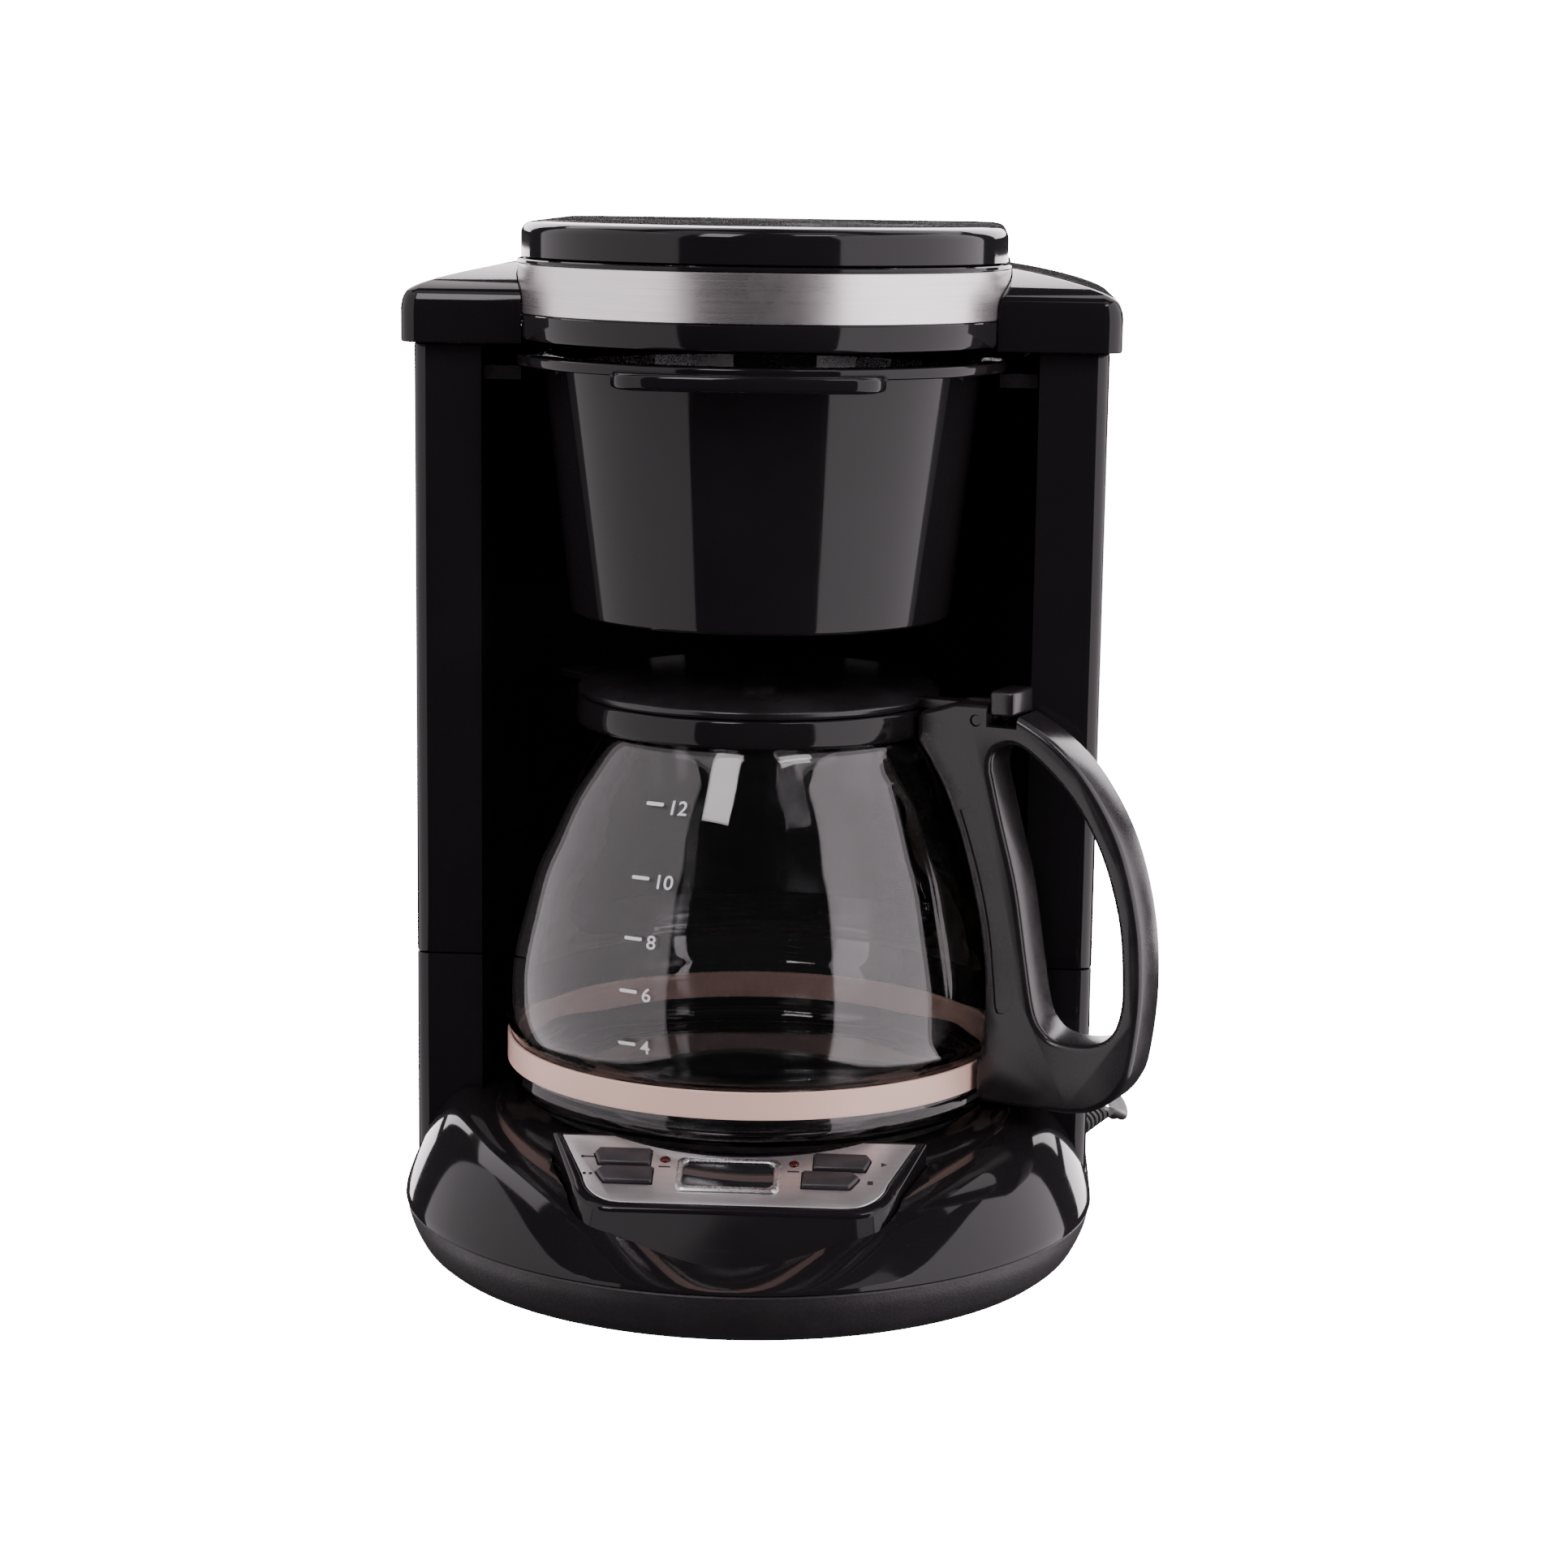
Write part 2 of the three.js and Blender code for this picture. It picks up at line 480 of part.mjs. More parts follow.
fingerGap.splineThru([
  [81.5, 158.5], [88, 160.4], [96, 155.4], [106, 145.5], [115, 130.5], [121, 111], [122.6, 92], [120.6, 79],
  [113, 73.4], [103, 73.6], [95.6, 81], [92.6, 97], [89, 118], [83.6, 138], [80, 152],
].map(([x, y]) => new THREE.Vector2(x, y)));
const SCREW_X = 88;
const upright = (solid) => toSolid(toGeometry(solid).rotateX(Math.PI / 2)
  .translate(0, CARAFE.width / 2, 0));
const outlinePoints = (shape, steps) => shape.getPoints(steps).filter(
  (p, i, all) => i === 0 || p.distanceTo(all[i - 1]) > 0.05);
const gapPoints = outlinePoints(fingerGap, 2);
gapPoints.pop();
const handle = upright(extrude(outlinePoints(handleOutline, 2), 0, CARAFE.width,
  [gapPoints], 1.6)
  .subtract(rod(CARAFE.pinX, CARAFE.pinZ, -5, 30, 1.8, 14)));
add('carafe_handle', handle
  .subtract(box(50, -3.9, 162.6, 80, 3.9, 180))
  .subtract(box(78.4, -20, 165.4, 88, 20, 180))
  .subtract(rod(SCREW_X, 0, 40, 54.4, 3.8, 16))
  .subtract(rod(SCREW_X, 0, 40, 66.6, 1.9, 12)), 'satin_black', carafe);
add('handle_screw', rod(SCREW_X, 0, 52.3, 54.1, 3.4, 16).add(rod(SCREW_X, 0, 53, 66, 1.6, 12)), 'steel', carafe);

const carafePinRod = (radius, length) => toSolid(new THREE.CylinderGeometry(radius, radius, length, 14)
  .translate(CARAFE.pinX, 0, CARAFE.pinZ));
add('carafe_lid', lathe([
  [0, 172.6], [46.4, 170.4], [46.4, 161], [48.8, 161], [48.8, 168.4], [54.4, 168.4], [54.8, 170.6], [49, 173.4],
  [20, 175.6], [0, 176],
], 28)
  .add(beak(-49, -67, 13, 4.4, 168.4, 171))
  .add(box(50, -3.5, 168.5, CARAFE.pinX, 3.5, 171.4))
  .add(carafePinRod(3.4, 7))
  .add(box(CARAFE.pinX - 1, -3.5, 168.2, 80, 3.5, 171.4))
  .add(box(78.8, -7.6, 168.4, 86.6, 7.6, 176))
  .subtract(carafePinRod(1.8, 30)), 'satin_black', carafe);
add('carafe_lid_pin', carafePinRod(1.5, 15.6), 'steel', carafe);

// Warming plate and water heater
add('warming_plate', lathe([
  [0, 42.9], [PLATE.radius - 2.1, 42.9], [PLATE.radius - 1.5, 38.6], [PLATE.radius, 38.6], [PLATE.radius, 43.6],
  [PLATE.radius - 1.3, PLATE.top], [0, PLATE.top],
], 30), 'plate_black');
const seal = { inner: PLATE.radius + GAP, outer: PLATE.hole - 2 * GAP };
add('plate_gasket', lathe([
  [seal.inner, 39.6], [seal.outer, 39.6], [seal.outer, 43.8], [(seal.inner + seal.outer) / 2, 44.4], [seal.inner, 43.8],
], 30), 'rubber');

const TUBE = { ring: 40.6, start: 118, z: 38 }; // the heater's water tube, open to the rear for its hoses
const ringPath = (radius, z, start) => Array.from({ length: 21 }, (_, i) => {
  const angle = THREE.MathUtils.degToRad(start + ((540 - 2 * start) * i) / 20);
  return [radius * Math.cos(angle), radius * Math.sin(angle), z];
});
const [[tubeX, endY]] = ringPath(TUBE.ring, TUBE.z, TUBE.start);
const endX = -tubeX;
add('heater_element', sweep(ringPath(50, TUBE.z, 130), circle(4.2, 6), 20), 'aluminium');
add('heater_water_tube', sweep(ringPath(TUBE.ring, TUBE.z, TUBE.start), circle(4.4, 6), 20), 'aluminium');
add('thermostat', rod(0, 0, 33, 42.5, 8.5, 20), 'aluminium');
add('thermal_fuse', toSolid(new THREE.CylinderGeometry(2.2, 2.2, 14, 12).rotateZ(Math.PI / 2)
  .translate(0, -20, 40)), 'steel');
add('check_valve', rod(OUTLET.x, OUTLET.y, 78, TANK.bottom - GAP, 6.5, 16), 'silicone');
add('inlet_hose', sweep([
  [OUTLET.x, OUTLET.y, 77.6], [OUTLET.x, OUTLET.y, 45], [OUTLET.x, OUTLET.y - 2, 24], [-38, 84, 13.5],
  [-34, 62, 12], [-26, 44, 14], [-endX - 2, endY + 6, 24], [-endX, endY + 4, 34],
], circle(4.2, 6), 18), 'silicone');
add('outlet_hose', sweep([
  [endX, endY + 4, 34], [endX + 2, endY + 6, 24], [27, 46, 14], [40, 62, 12], [54, 76, 13.5],
  [RISER.x, RISER.y, 24], [RISER.x, RISER.y, 36],
], circle(4.2, 6), 18), 'silicone');
add('riser_tube', sweep([
  [RISER.x, RISER.y, 36.4], [RISER.x, RISER.y, 120], [RISER.x, RISER.y, 200], [RISER.x, RISER.y, 272],
  [RISER.x - 2, RISER.y - 3, 284], [50, 70, 288.5], [30, 42, 288.5], [10, 14, 288.5], [2, 3, 286], [0, 0, 280.6],
], circle(4, 6), 28), 'tank_plastic');

// Control panel, in the tilted frame of its own face
const WINDOW = { x: -2, y: -2, width: 29, height: 13.6 };
const LEDS = [{ name: 'led_auto', x: -20.6, y: 4.6 }, { name: 'led_on', x: 16.6, y: 4.2 }];
const centredBox = (x, y, width, height, z0, z1) => box(
  x - width / 2, y - height / 2, z0, x + width / 2, y + height / 2, z1);
let plate = extrude(panelPlan(0), -1.2, 0);
BUTTONS.forEach(({ x, y }) => {
  plate = plate.subtract(centredBox(x, y, BUTTON.width + 0.7, BUTTON.height + 0.7, -5, 5));
});
plate = plate.subtract(centredBox(WINDOW.x, WINDOW.y, WINDOW.width + 2 * GAP, WINDOW.height + 2 * GAP, -5, 5));
LEDS.forEach(({ x, y }) => {
  plate = plate.subtract(rod(x, y, -5, 5, 1.5, 12));
});
add('control_panel', plate, 'brushed_steel', panel);
BUTTONS.forEach(({ name, x, y }) => {
  add(name, centredBox(x, y, BUTTON.width, BUTTON.height, -3, BUTTON.proud)
    .add(centredBox(x, y, 6, 3, -5.2, -2)), 'button_grey', panel);
});
add('display_window', centredBox(WINDOW.x, WINDOW.y, WINDOW.width, WINDOW.height, -1.6, 0.3), 'dark_display', panel);
add('display_module', centredBox(WINDOW.x, WINDOW.y, WINDOW.width, WINDOW.height - 1.6, -5.6, -1.9), 'board_green', panel);
LEDS.forEach(({ name, x, y }) => {
  add(name, rod(x, y, -5.4, 0.3, 1.2, 12), 'led_red', panel);
});
add('control_board', centredBox(-2, -3.2, 80, 13, -7.6, -6.2), 'board_green', panel);

// Supply cord: strain relief, flat twin lead, coil and plug
const relief = new THREE.CylinderGeometry(2.6, 4.4, GLAND.length, 12).rotateZ(-Math.PI / 2)
  .translate(GLAND.length / 2 + 3, 0, 0);
const block = new THREE.BoxGeometry(10, 10, 10).translate(-1.6, 0, 0);
add('strain_relief', placed(relief).add(placed(block)), 'rubber');
const exit = new THREE.Vector3(GLAND.length + 3 + GAP, 0, 0).applyMatrix4(glandFrame);
const along = new THREE.Vector3(Math.cos(THREE.MathUtils.degToRad(GLAND.turn)),
  Math.sin(THREE.MathUtils.degToRad(GLAND.turn)), 0);
const straight = exit.clone().addScaledVector(along, 5);
const cordRoute = [
  exit.toArray(), straight.toArray(), [117, 119.5, 5.4], [118.8, 128, 2.6], [119.3, 138, 2],
  [118.4, 149, 2], [115.8, 160.6, 2],
];
const [half, core] = [CORD.width / 2, CORD.thickness / 2];
const cordSection = [
  [-half, 0], [-0.8 * half, -0.87 * core], [-0.3 * half, -core], [0.3 * half, -core], [0.8 * half, -0.87 * core],
  [half, 0], [0.8 * half, 0.87 * core], [0.3 * half, core], [-0.3 * half, core], [-0.8 * half, 0.87 * core],
].map(([x, y]) => new THREE.Vector2(y, x));
add('cord', sweep(cordRoute, cordSection, 14), 'cord_black', supply);
add('cord_coil', toSolid(toGeometry(lathe([
  [CORD.coilInner, 0.3], [CORD.coilOuter, 0.3], [CORD.coilOuter, 3.7], [CORD.coilInner, 3.7],
], 40)).translate(CORD.coilX, CORD.coilY, 0)), 'cord_black', supply);
const blade = (y) => box(CORD.coilX - 2, CORD.coilY + y - 0.75, 3.4, CORD.coilX + 16, CORD.coilY + y + 0.75, 9.7);
add('plug', centredBox(CORD.coilX - 12, CORD.coilY, 21, 24, 0.3, 13).add(blade(-6.35)).add(blade(6.35)), 'cord_black',
  supply);

// Origin: middle of the appliance's footprint, on the table
group.updateMatrixWorld(true);
const bounds = new THREE.Box3().setFromObject(appliance, true);
group.position.set(-(bounds.min.x + bounds.max.x) / 2, -(bounds.min.y + bounds.max.y) / 2, -bounds.min.z);

export default group;
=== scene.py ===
"""Drip coffee maker: the looks model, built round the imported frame.

Sizes here are millimetres from the brew axis, with x to the right, y to the rear and z up from the table.
``at`` turns them into metres in the row frame, so every mesh is made in its final place.
"""

import logging
import math
from dataclasses import dataclass, field
from enum import Enum
from typing import Callable, Iterable, Sequence, Union

import bmesh
import bpy
from mathutils import Matrix, Vector


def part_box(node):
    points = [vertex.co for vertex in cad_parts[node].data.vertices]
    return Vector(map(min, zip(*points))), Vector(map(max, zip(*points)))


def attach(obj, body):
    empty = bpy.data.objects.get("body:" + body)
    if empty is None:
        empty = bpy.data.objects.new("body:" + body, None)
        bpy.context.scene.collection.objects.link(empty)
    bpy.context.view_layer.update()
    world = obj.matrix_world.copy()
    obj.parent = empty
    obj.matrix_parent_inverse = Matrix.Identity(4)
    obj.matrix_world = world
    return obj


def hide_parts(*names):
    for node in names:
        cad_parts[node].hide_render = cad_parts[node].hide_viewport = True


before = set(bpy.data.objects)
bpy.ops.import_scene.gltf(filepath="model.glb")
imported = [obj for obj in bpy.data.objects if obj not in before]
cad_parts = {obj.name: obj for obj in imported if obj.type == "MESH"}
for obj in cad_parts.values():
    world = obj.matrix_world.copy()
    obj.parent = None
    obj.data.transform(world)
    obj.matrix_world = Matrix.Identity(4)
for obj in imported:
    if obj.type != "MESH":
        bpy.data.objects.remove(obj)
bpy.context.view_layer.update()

MM = 0.001
GAP = 0.3
WALL = 2.4
PLATE_LOW, PLATE_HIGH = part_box("warming_plate")
AXIS = Vector(((PLATE_LOW.x + PLATE_HIGH.x) / 2, (PLATE_LOW.y + PLATE_HIGH.y) / 2, 0))

Point = tuple[float, float]
Place = Callable[[float, float, float], Vector]
log = logging.getLogger("coffee_maker")


class Body(Enum):
    """The moving bodies of the machine."""

    HOUSING = "housing"
    LID = "lid"
    BASKET = "basket"
    CARAFE = "carafe"
    CARAFE_LID = "carafe_lid"
    HOUR_BUTTON = "hour_button"
    MINUTE_BUTTON = "minute_button"
    PROGRAM_BUTTON = "program_button"
    SET_BUTTON = "set_button"


class Slot(Enum):
    """The material slots of the record."""

    GLOSS_BLACK = "gloss_black"
    SATIN_BLACK = "satin_black"
    MATTE_BLACK = "matte_black"
    BRUSHED_STEEL = "brushed_steel"
    CARAFE_GLASS = "carafe_glass"
    ROSE_BAND = "rose_band"
    DARK_DISPLAY = "dark_display"
    BUTTON_GREY = "button_grey"
    LED_RED = "led_red"
    SILICONE = "silicone"
    RUBBER = "rubber"
    ALUMINIUM = "aluminium"
    PLATE_BLACK = "plate_black"
    STEEL = "steel"
    TANK_PLASTIC = "tank_plastic"
    BOARD_GREEN = "board_green"
    CORD_BLACK = "cord_black"


# Places and outlines


def at(x: float, y: float, z: float) -> Vector:
    """Metres in the row frame for millimetres round the brew axis."""
    return AXIS + Vector((x, y, z)) * MM


def polar(radius: float, degrees: float, x: float = 0, y: float = 0) -> Point:
    """A point on a circle, in the units it is given."""
    turn = math.radians(degrees)
    return x + radius * math.cos(turn), y + radius * math.sin(turn)


def arc(x: float, y: float, radius: float, start: float, end: float, steps: int) -> list[Point]:
    """Points along an arc, with both its ends."""
    return [polar(radius, start + (end - start) * i / steps, x, y) for i in range(steps + 1)]


def between(start: Point, end: Point, steps: int) -> list[Point]:
    """Points between two others, without them."""
    (x0, y0), (x1, y1) = start, end
    return [(x0 + (x1 - x0) * i / steps, y0 + (y1 - y0) * i / steps) for i in range(1, steps)]


def smooth(points: Sequence[Point], steps: int) -> list[Point]:
    """A flowing curve through points.

    Args:
        points: what the curve passes through.
        steps: how many straight pieces stand for each span.

    Returns:
        The curve's points, with both its ends.
    """
    curve = []
    for i in range(len(points) - 1):
        a, b, c, d = (points[min(max(k, 0), len(points) - 1)] for k in (i - 1, i, i + 1, i + 2))
        for step in range(steps):
            t = step / steps
            curve.append(tuple(
                q + t * (r - p) / 2 + t * t * (2 * p - 5 * q + 4 * r - s) / 2 + t ** 3 * (3 * q - p - 3 * r + s) / 2
                for p, q, r, s in zip(a, b, c, d)))
    return [*curve, tuple(points[-1])]


def smoothstep(value: float) -> float:
    """An even ramp from 0 to 1 that starts and ends level."""
    held = min(max(value, 0.0), 1.0)
    return held * held * (3 - 2 * held)


# Modelling


class Shape:
    """A mesh under way, worked with edit-mode operators and applied modifiers."""

    def __init__(self, name: str) -> None:
        """Takes over the active object under a new name."""
        self.obj = bpy.context.object
        self.obj.name = self.obj.data.name = name

    @classmethod
    def chain(cls, name: str, points: Sequence[Vector]) -> "Shape":
        """Starts from a small plane merged to one corner, and draws that corner out along points."""
        bpy.ops.object.select_all(action="DESELECT")
        bpy.ops.mesh.primitive_plane_add(size=MM, location=points[0])
        bpy.ops.object.transform_apply()
        bpy.ops.object.mode_set(mode="EDIT")
        bpy.ops.mesh.select_all(action="SELECT")
        bpy.ops.mesh.merge(type="CENTER")
        for here, after in zip(points, points[1:]):
            bpy.ops.mesh.extrude_vertices_move(TRANSFORM_OT_translate={"value": after - here})
        bpy.ops.mesh.select_all(action="SELECT")
        return cls(name)

    @classmethod
    def turned(cls, name: str, profile: Sequence[Point], steps: int = 128, x: float = 0, y: float = 0) -> "Shape":
        """Spins a profile of (radius, height) round an upright axis.

        Args:
            name: the object's name.
            profile: a closed outline, or one with both ends on the axis.
            steps: how many facets go round.
            x: where the axis stands.
            y: where the axis stands.

        Returns:
            The closed shape.
        """
        shape = cls.chain(name, [at(x + radius, y, z) for radius, z in profile])
        bpy.ops.mesh.spin(steps=steps, angle=2 * math.pi, center=at(x, y, 0), axis=(0, 0, 1))
        return shape.close()

    @classmethod
    def skin(cls, name: str, loops: Sequence[Sequence[Vector]], ring: bool = False) -> "Shape":
        """Draws one outline on through others of as many points.

        Args:
            name: the object's name.
            loops: the outlines, in order.
            ring: joins the last outline to the first, where otherwise a face closes both ends.

        Returns:
            The closed shape.
        """
        shape = cls.chain(name, loops[0])
        mesh = bmesh.from_edit_mesh(shape.obj.data)
        station = mesh.verts.layers.int.new("station")
        for corner in mesh.verts:
            corner[station] = min(range(len(loops[0])), key=lambda i: (loops[0][i] - corner.co).length_squared)
        bmesh.update_edit_mesh(shape.obj.data)
        bpy.ops.mesh.edge_face_add()
        if ring:
            bpy.ops.mesh.delete(type="ONLY_FACE")
            bpy.ops.mesh.select_all(action="SELECT")
        for loop in [*loops[1:], loops[0]] if ring else loops[1:]:
            if ring:
                bpy.ops.mesh.extrude_edges_move()
            else:
                bpy.ops.mesh.extrude_region_move()
            mesh = bmesh.from_edit_mesh(shape.obj.data)
            station = mesh.verts.layers.int["station"]
            for corner in mesh.verts:
                if corner.select:
                    corner.co = loop[corner[station]]
            bmesh.update_edit_mesh(shape.obj.data)
        return shape.close()

    @classmethod
    def block(cls, name: str, low: Sequence[float], high: Sequence[float], round_off: float = 0,
              place: Place = at) -> "Shape":
        """A box between two corners, with its edges rounded off."""
        (x0, y0, z0), (x1, y1, z1) = low, high
        outline = [(x0, y0), (x1, y0), (x1, y1), (x0, y1)]
        shape = cls.skin(name, [[place(x, y, z) for x, y in outline] for z in (z0, z1)])
        return shape.soften(round_off, 3) if round_off else shape

    @classmethod
    def prism(cls, name: str, outline: Sequence[Point], low: float, high: float, place: Place = at) -> "Shape":
        """An outline drawn up from one height to another."""
        return cls.skin(name, [[place(x, y, z) for x, y in outline] for z in (low, high)])

    @classmethod
    def rod(cls, name: str, start: Vector, end: Vector, radius: float, sides: int = 32) -> "Shape":
        """A round bar between two places in the row frame, with a radius in millimetres."""
        along = end - start
        bpy.ops.object.select_all(action="DESELECT")
        bpy.ops.mesh.primitive_cylinder_add(
            vertices=sides, radius=radius * MM, depth=along.length, location=(start + end) / 2,
            rotation=along.to_track_quat("Z", "Y").to_euler())
        bpy.ops.object.transform_apply()
        return cls(name)

    def close(self) -> "Shape":
        """Merges what meets, turns the faces outwards and leaves edit mode."""
        bpy.ops.mesh.select_all(action="SELECT")
        bpy.ops.mesh.remove_doubles(threshold=1e-6)
        bpy.ops.mesh.normals_make_consistent(inside=False)
        bpy.ops.object.mode_set(mode="OBJECT")
        return self

    def activate(self) -> None:
        """Selects this shape alone."""
        bpy.ops.object.select_all(action="DESELECT")
        self.obj.select_set(True)
        bpy.context.view_layer.objects.active = self.obj

    def modify(self, kind: str, **settings: object) -> "Shape":
        """Adds one modifier and applies it."""
        self.activate()
        modifier = self.obj.modifiers.new(kind.title(), kind)
        for name, value in settings.items():
            setattr(modifier, name, value)
        bpy.ops.object.modifier_apply(modifier=modifier.name)
        return self

    def combine(self, operation: str, *others: "Shape") -> "Shape":
        """Runs booleans with other shapes, which are used up."""
        for other in others:
            self.modify("BOOLEAN", operation=operation, object=other.obj, solver="EXACT")
            bpy.data.objects.remove(other.obj)
        return self

    def cut(self, *others: "Shape") -> "Shape":
        """Takes other shapes away."""
        return self.combine("DIFFERENCE", *others)

    def weld(self, *others: "Shape") -> "Shape":
        """Adds other shapes to this one as one skin."""
        return self.combine("UNION", *others)

    def gather(self, *others: "Shape") -> "Shape":
        """Joins other shapes as loose bodies of one mesh."""
        self.activate()
        for other in others:
            other.obj.select_set(True)
        bpy.ops.object.join()
        return self

    def soften(self, width: float, segments: int = 3, angle: float = 40) -> "Shape":
        """Rounds off every edge sharper than an angle, by a width in millimetres."""
        return self.modify("BEVEL", width=width * MM, segments=segments, limit_method="ANGLE",
                           angle_limit=math.radians(angle), harden_normals=False)

    def settle(self, body: Body, slot: Slot, finish: "Finish", *nodes: str, angle: float = 32) -> bpy.types.Object:
        """Finishes the piece.

        Args:
            body: what it moves with.
            slot: the record's slot; it is not used.
            finish: what it is dressed in.
            nodes: the CAD nodes it stands for.
            angle: the sharpest edge that is still shaded smooth, in degrees.

        Returns:
            The finished object.
        """
        self.activate()
        bpy.ops.object.shade_smooth_by_angle(angle=math.radians(angle))
        self.obj.data.materials.clear()
        self.obj.data.materials.append(finish.material())
        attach(self.obj, body.value)
        if nodes:
            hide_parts(*nodes)
        log.info("%s: %d faces", self.obj.name, len(self.obj.data.polygons))
        return self.obj


# Shader graphs

Value = Union[float, "Wire"]


class Wire:
    """A node's output that sums and scales like a number."""

    def __init__(self, graph: "Graph", socket: bpy.types.NodeSocket) -> None:
        """Keeps the output and the graph it is in."""
        self.graph = graph
        self.socket = socket

    def _maths(self, operation: str, first: Value, second: Value) -> "Wire":
        """One Math node."""
        return self.graph.node("ShaderNodeMath", {"operation": operation}, {0: first, 1: second})

    def __add__(self, other: Value) -> "Wire":
        """Sum."""
        return self._maths("ADD", self, other)

    def __sub__(self, other: Value) -> "Wire":
        """Difference."""
        return self._maths("SUBTRACT", self, other)

    def __rsub__(self, other: Value) -> "Wire":
        """Difference from a number."""
        return self._maths("SUBTRACT", other, self)

    def __mul__(self, other: Value) -> "Wire":
        """Product."""
        return self._maths("MULTIPLY", self, other)

    def __pow__(self, other: Value) -> "Wire":
        """Power."""
        return self._maths("POWER", self, other)

    def __gt__(self, other: Value) -> "Wire":
        """1 where this is greater, and 0 elsewhere."""
        return self._maths("GREATER_THAN", self, other)

    __radd__ = __add__
    __rmul__ = __mul__


class Graph:
    """A material's node tree round one Principled shader."""

    def __init__(self, name: str) -> None:
        """Makes an empty material."""
        self.made = bpy.data.materials.new(name)
        self.made.use_nodes = True
        self.tree = self.made.node_tree
        self.shader = self.tree.nodes["Principled BSDF"]

    def node(self, kind: str, settings: dict[str, object], inputs: dict[Union[int, str], object],
             output: Union[int, str] = 0) -> Wire:
        """Adds a node.

        Args:
            kind: the node's type.
            settings: properties set before its sockets; "stops" are a colour ramp's (place, grey) pairs.
            inputs: values or wires by socket name or number.
            output: the output that is handed back.

        Returns:
            The chosen output.
        """
        made = self.tree.nodes.new(kind)
        for name, value in settings.items():
            if name == "stops":
                ramp = made.color_ramp
                while len(ramp.elements) < len(value):
                    ramp.elements.new(1)
                for element, (place, grey) in zip(ramp.elements, value):
                    element.position, element.color = place, (grey, grey, grey, 1)
            else:
                setattr(made, name, value)
        for name, value in inputs.items():
            self.feed(made.inputs[name], value)
        return Wire(self, made.outputs[output])

    def feed(self, socket: bpy.types.NodeSocket, value: object) -> None:
        """Sets a socket to a value, or links a wire to it."""
        if isinstance(value, Wire):
            self.tree.links.new(value.socket, socket)
        else:
            socket.default_value = value

    def place(self, scale: Sequence[float] = (1, 1, 1), turn: float = 0) -> Wire:
        """Object coordinates in millimetres round the brew axis, stretched and turned about z."""
        where = self.node("ShaderNodeTexCoord", {}, {}, "Object")
        return self.node("ShaderNodeMapping", {}, {
            "Vector": where, "Scale": tuple(1000 * value for value in scale), "Rotation": (0, 0, math.radians(turn))})

    def noise(self, scale: float, detail: float = 3, stretch: Sequence[float] = (1, 1, 1), turn: float = 0) -> Wire:
        """Noise with a grain of about 1 / scale millimetres, from 0 to 1."""
        return self.node("ShaderNodeTexNoise", {}, {
            "Vector": self.place(stretch, turn), "Scale": scale, "Detail": detail, "Roughness": 0.55}, "Fac")

    def ramp(self, wire: Wire, *stops: tuple[float, float]) -> Wire:
        """Remaps a value through grey stops."""
        return self.node("ShaderNodeValToRGB", {"stops": stops}, {"Fac": wire})

    def blend(self, factor: Wire, first: Sequence[float], second: Sequence[float]) -> Wire:
        """A colour between two others."""
        return self.node("ShaderNodeMix", {"data_type": "RGBA"}, {0: factor, 6: (*first, 1), 7: (*second, 1)}, 2)

    def bump(self, height: Wire, depth: float, strength: float = 1) -> Wire:
        """A normal from a height, with its depth in millimetres."""
        return self.node("ShaderNodeBump", {}, {"Height": height, "Distance": depth * MM, "Strength": strength})

    def dress(self, **inputs: object) -> bpy.types.Material:
        """Sets the shader's sockets, with _ for a space, and hands back the material."""
        for name, value in inputs.items():
            self.feed(self.shader.inputs[name.replace("_", " ")], value)
        return self.made


Colour = tuple[float, float, float]


@dataclass(frozen=True)
class Finish:
    """A surface finish; each kind makes its own material once."""

    name: str

    def material(self) -> bpy.types.Material:
        """The material, made the first time it is asked for."""
        return bpy.data.materials.get(self.name) or self.make(Graph(self.name))

    def make(self, graph: Graph) -> bpy.types.Material:
        """Fills the graph."""
        raise NotImplementedError


@dataclass(frozen=True)
class GlossPlastic(Finish):
    """Moulded plastic with a high shine, faint flow marks, dust and hairline scratches."""

    colour: Colour = (0.0065, 0.0055, 0.0065)
    shine: float = 0.05
    dust: float = 0.02

    def make(self, graph: Graph) -> bpy.types.Material:
        """Fills the graph."""
        flow = graph.noise(0.025, 2)
        handling = graph.ramp(graph.noise(0.04, 5), (0.35, 0), (0.75, 1))
        hairline = graph.ramp(graph.noise(0.9, 2, (0.02, 1, 1), 24), (0.7, 0), (0.78, 1))
        specks = graph.ramp(graph.noise(1.6, 1), (0.74, 0), (0.78, 1))
        tone = graph.blend(specks * self.dust + flow * 0.15, self.colour,
                           tuple(4 * value + 0.02 for value in self.colour))
        return graph.dress(
            Base_Color=tone, Roughness=self.shine + 0.05 * handling + 0.05 * hairline + 0.1 * specks,
            IOR=1.34, Coat_Weight=0.05, Coat_Roughness=0.03,
            Normal=graph.bump(flow, 0.09, 0.3))


@dataclass(frozen=True)
class SatinPlastic(Finish):
    """Moulded plastic with a soft shine and a very fine skin."""

    colour: Colour = (0.009, 0.008, 0.009)
    roughness: float = 0.16
    grain: float = 0.012

    def make(self, graph: Graph) -> bpy.types.Material:
        """Fills the graph."""
        worn = graph.ramp(graph.noise(0.06, 4), (0.4, 0), (0.7, 1))
        skin = graph.noise(4, 2)
        return graph.dress(
            Base_Color=graph.blend(worn * 0.5 + skin * 0.3, self.colour, tuple(2.6 * v for v in self.colour)),
            Roughness=self.roughness + 0.07 * worn + 0.06 * skin, IOR=1.5,
            Normal=graph.bump(skin, self.grain, 0.6))


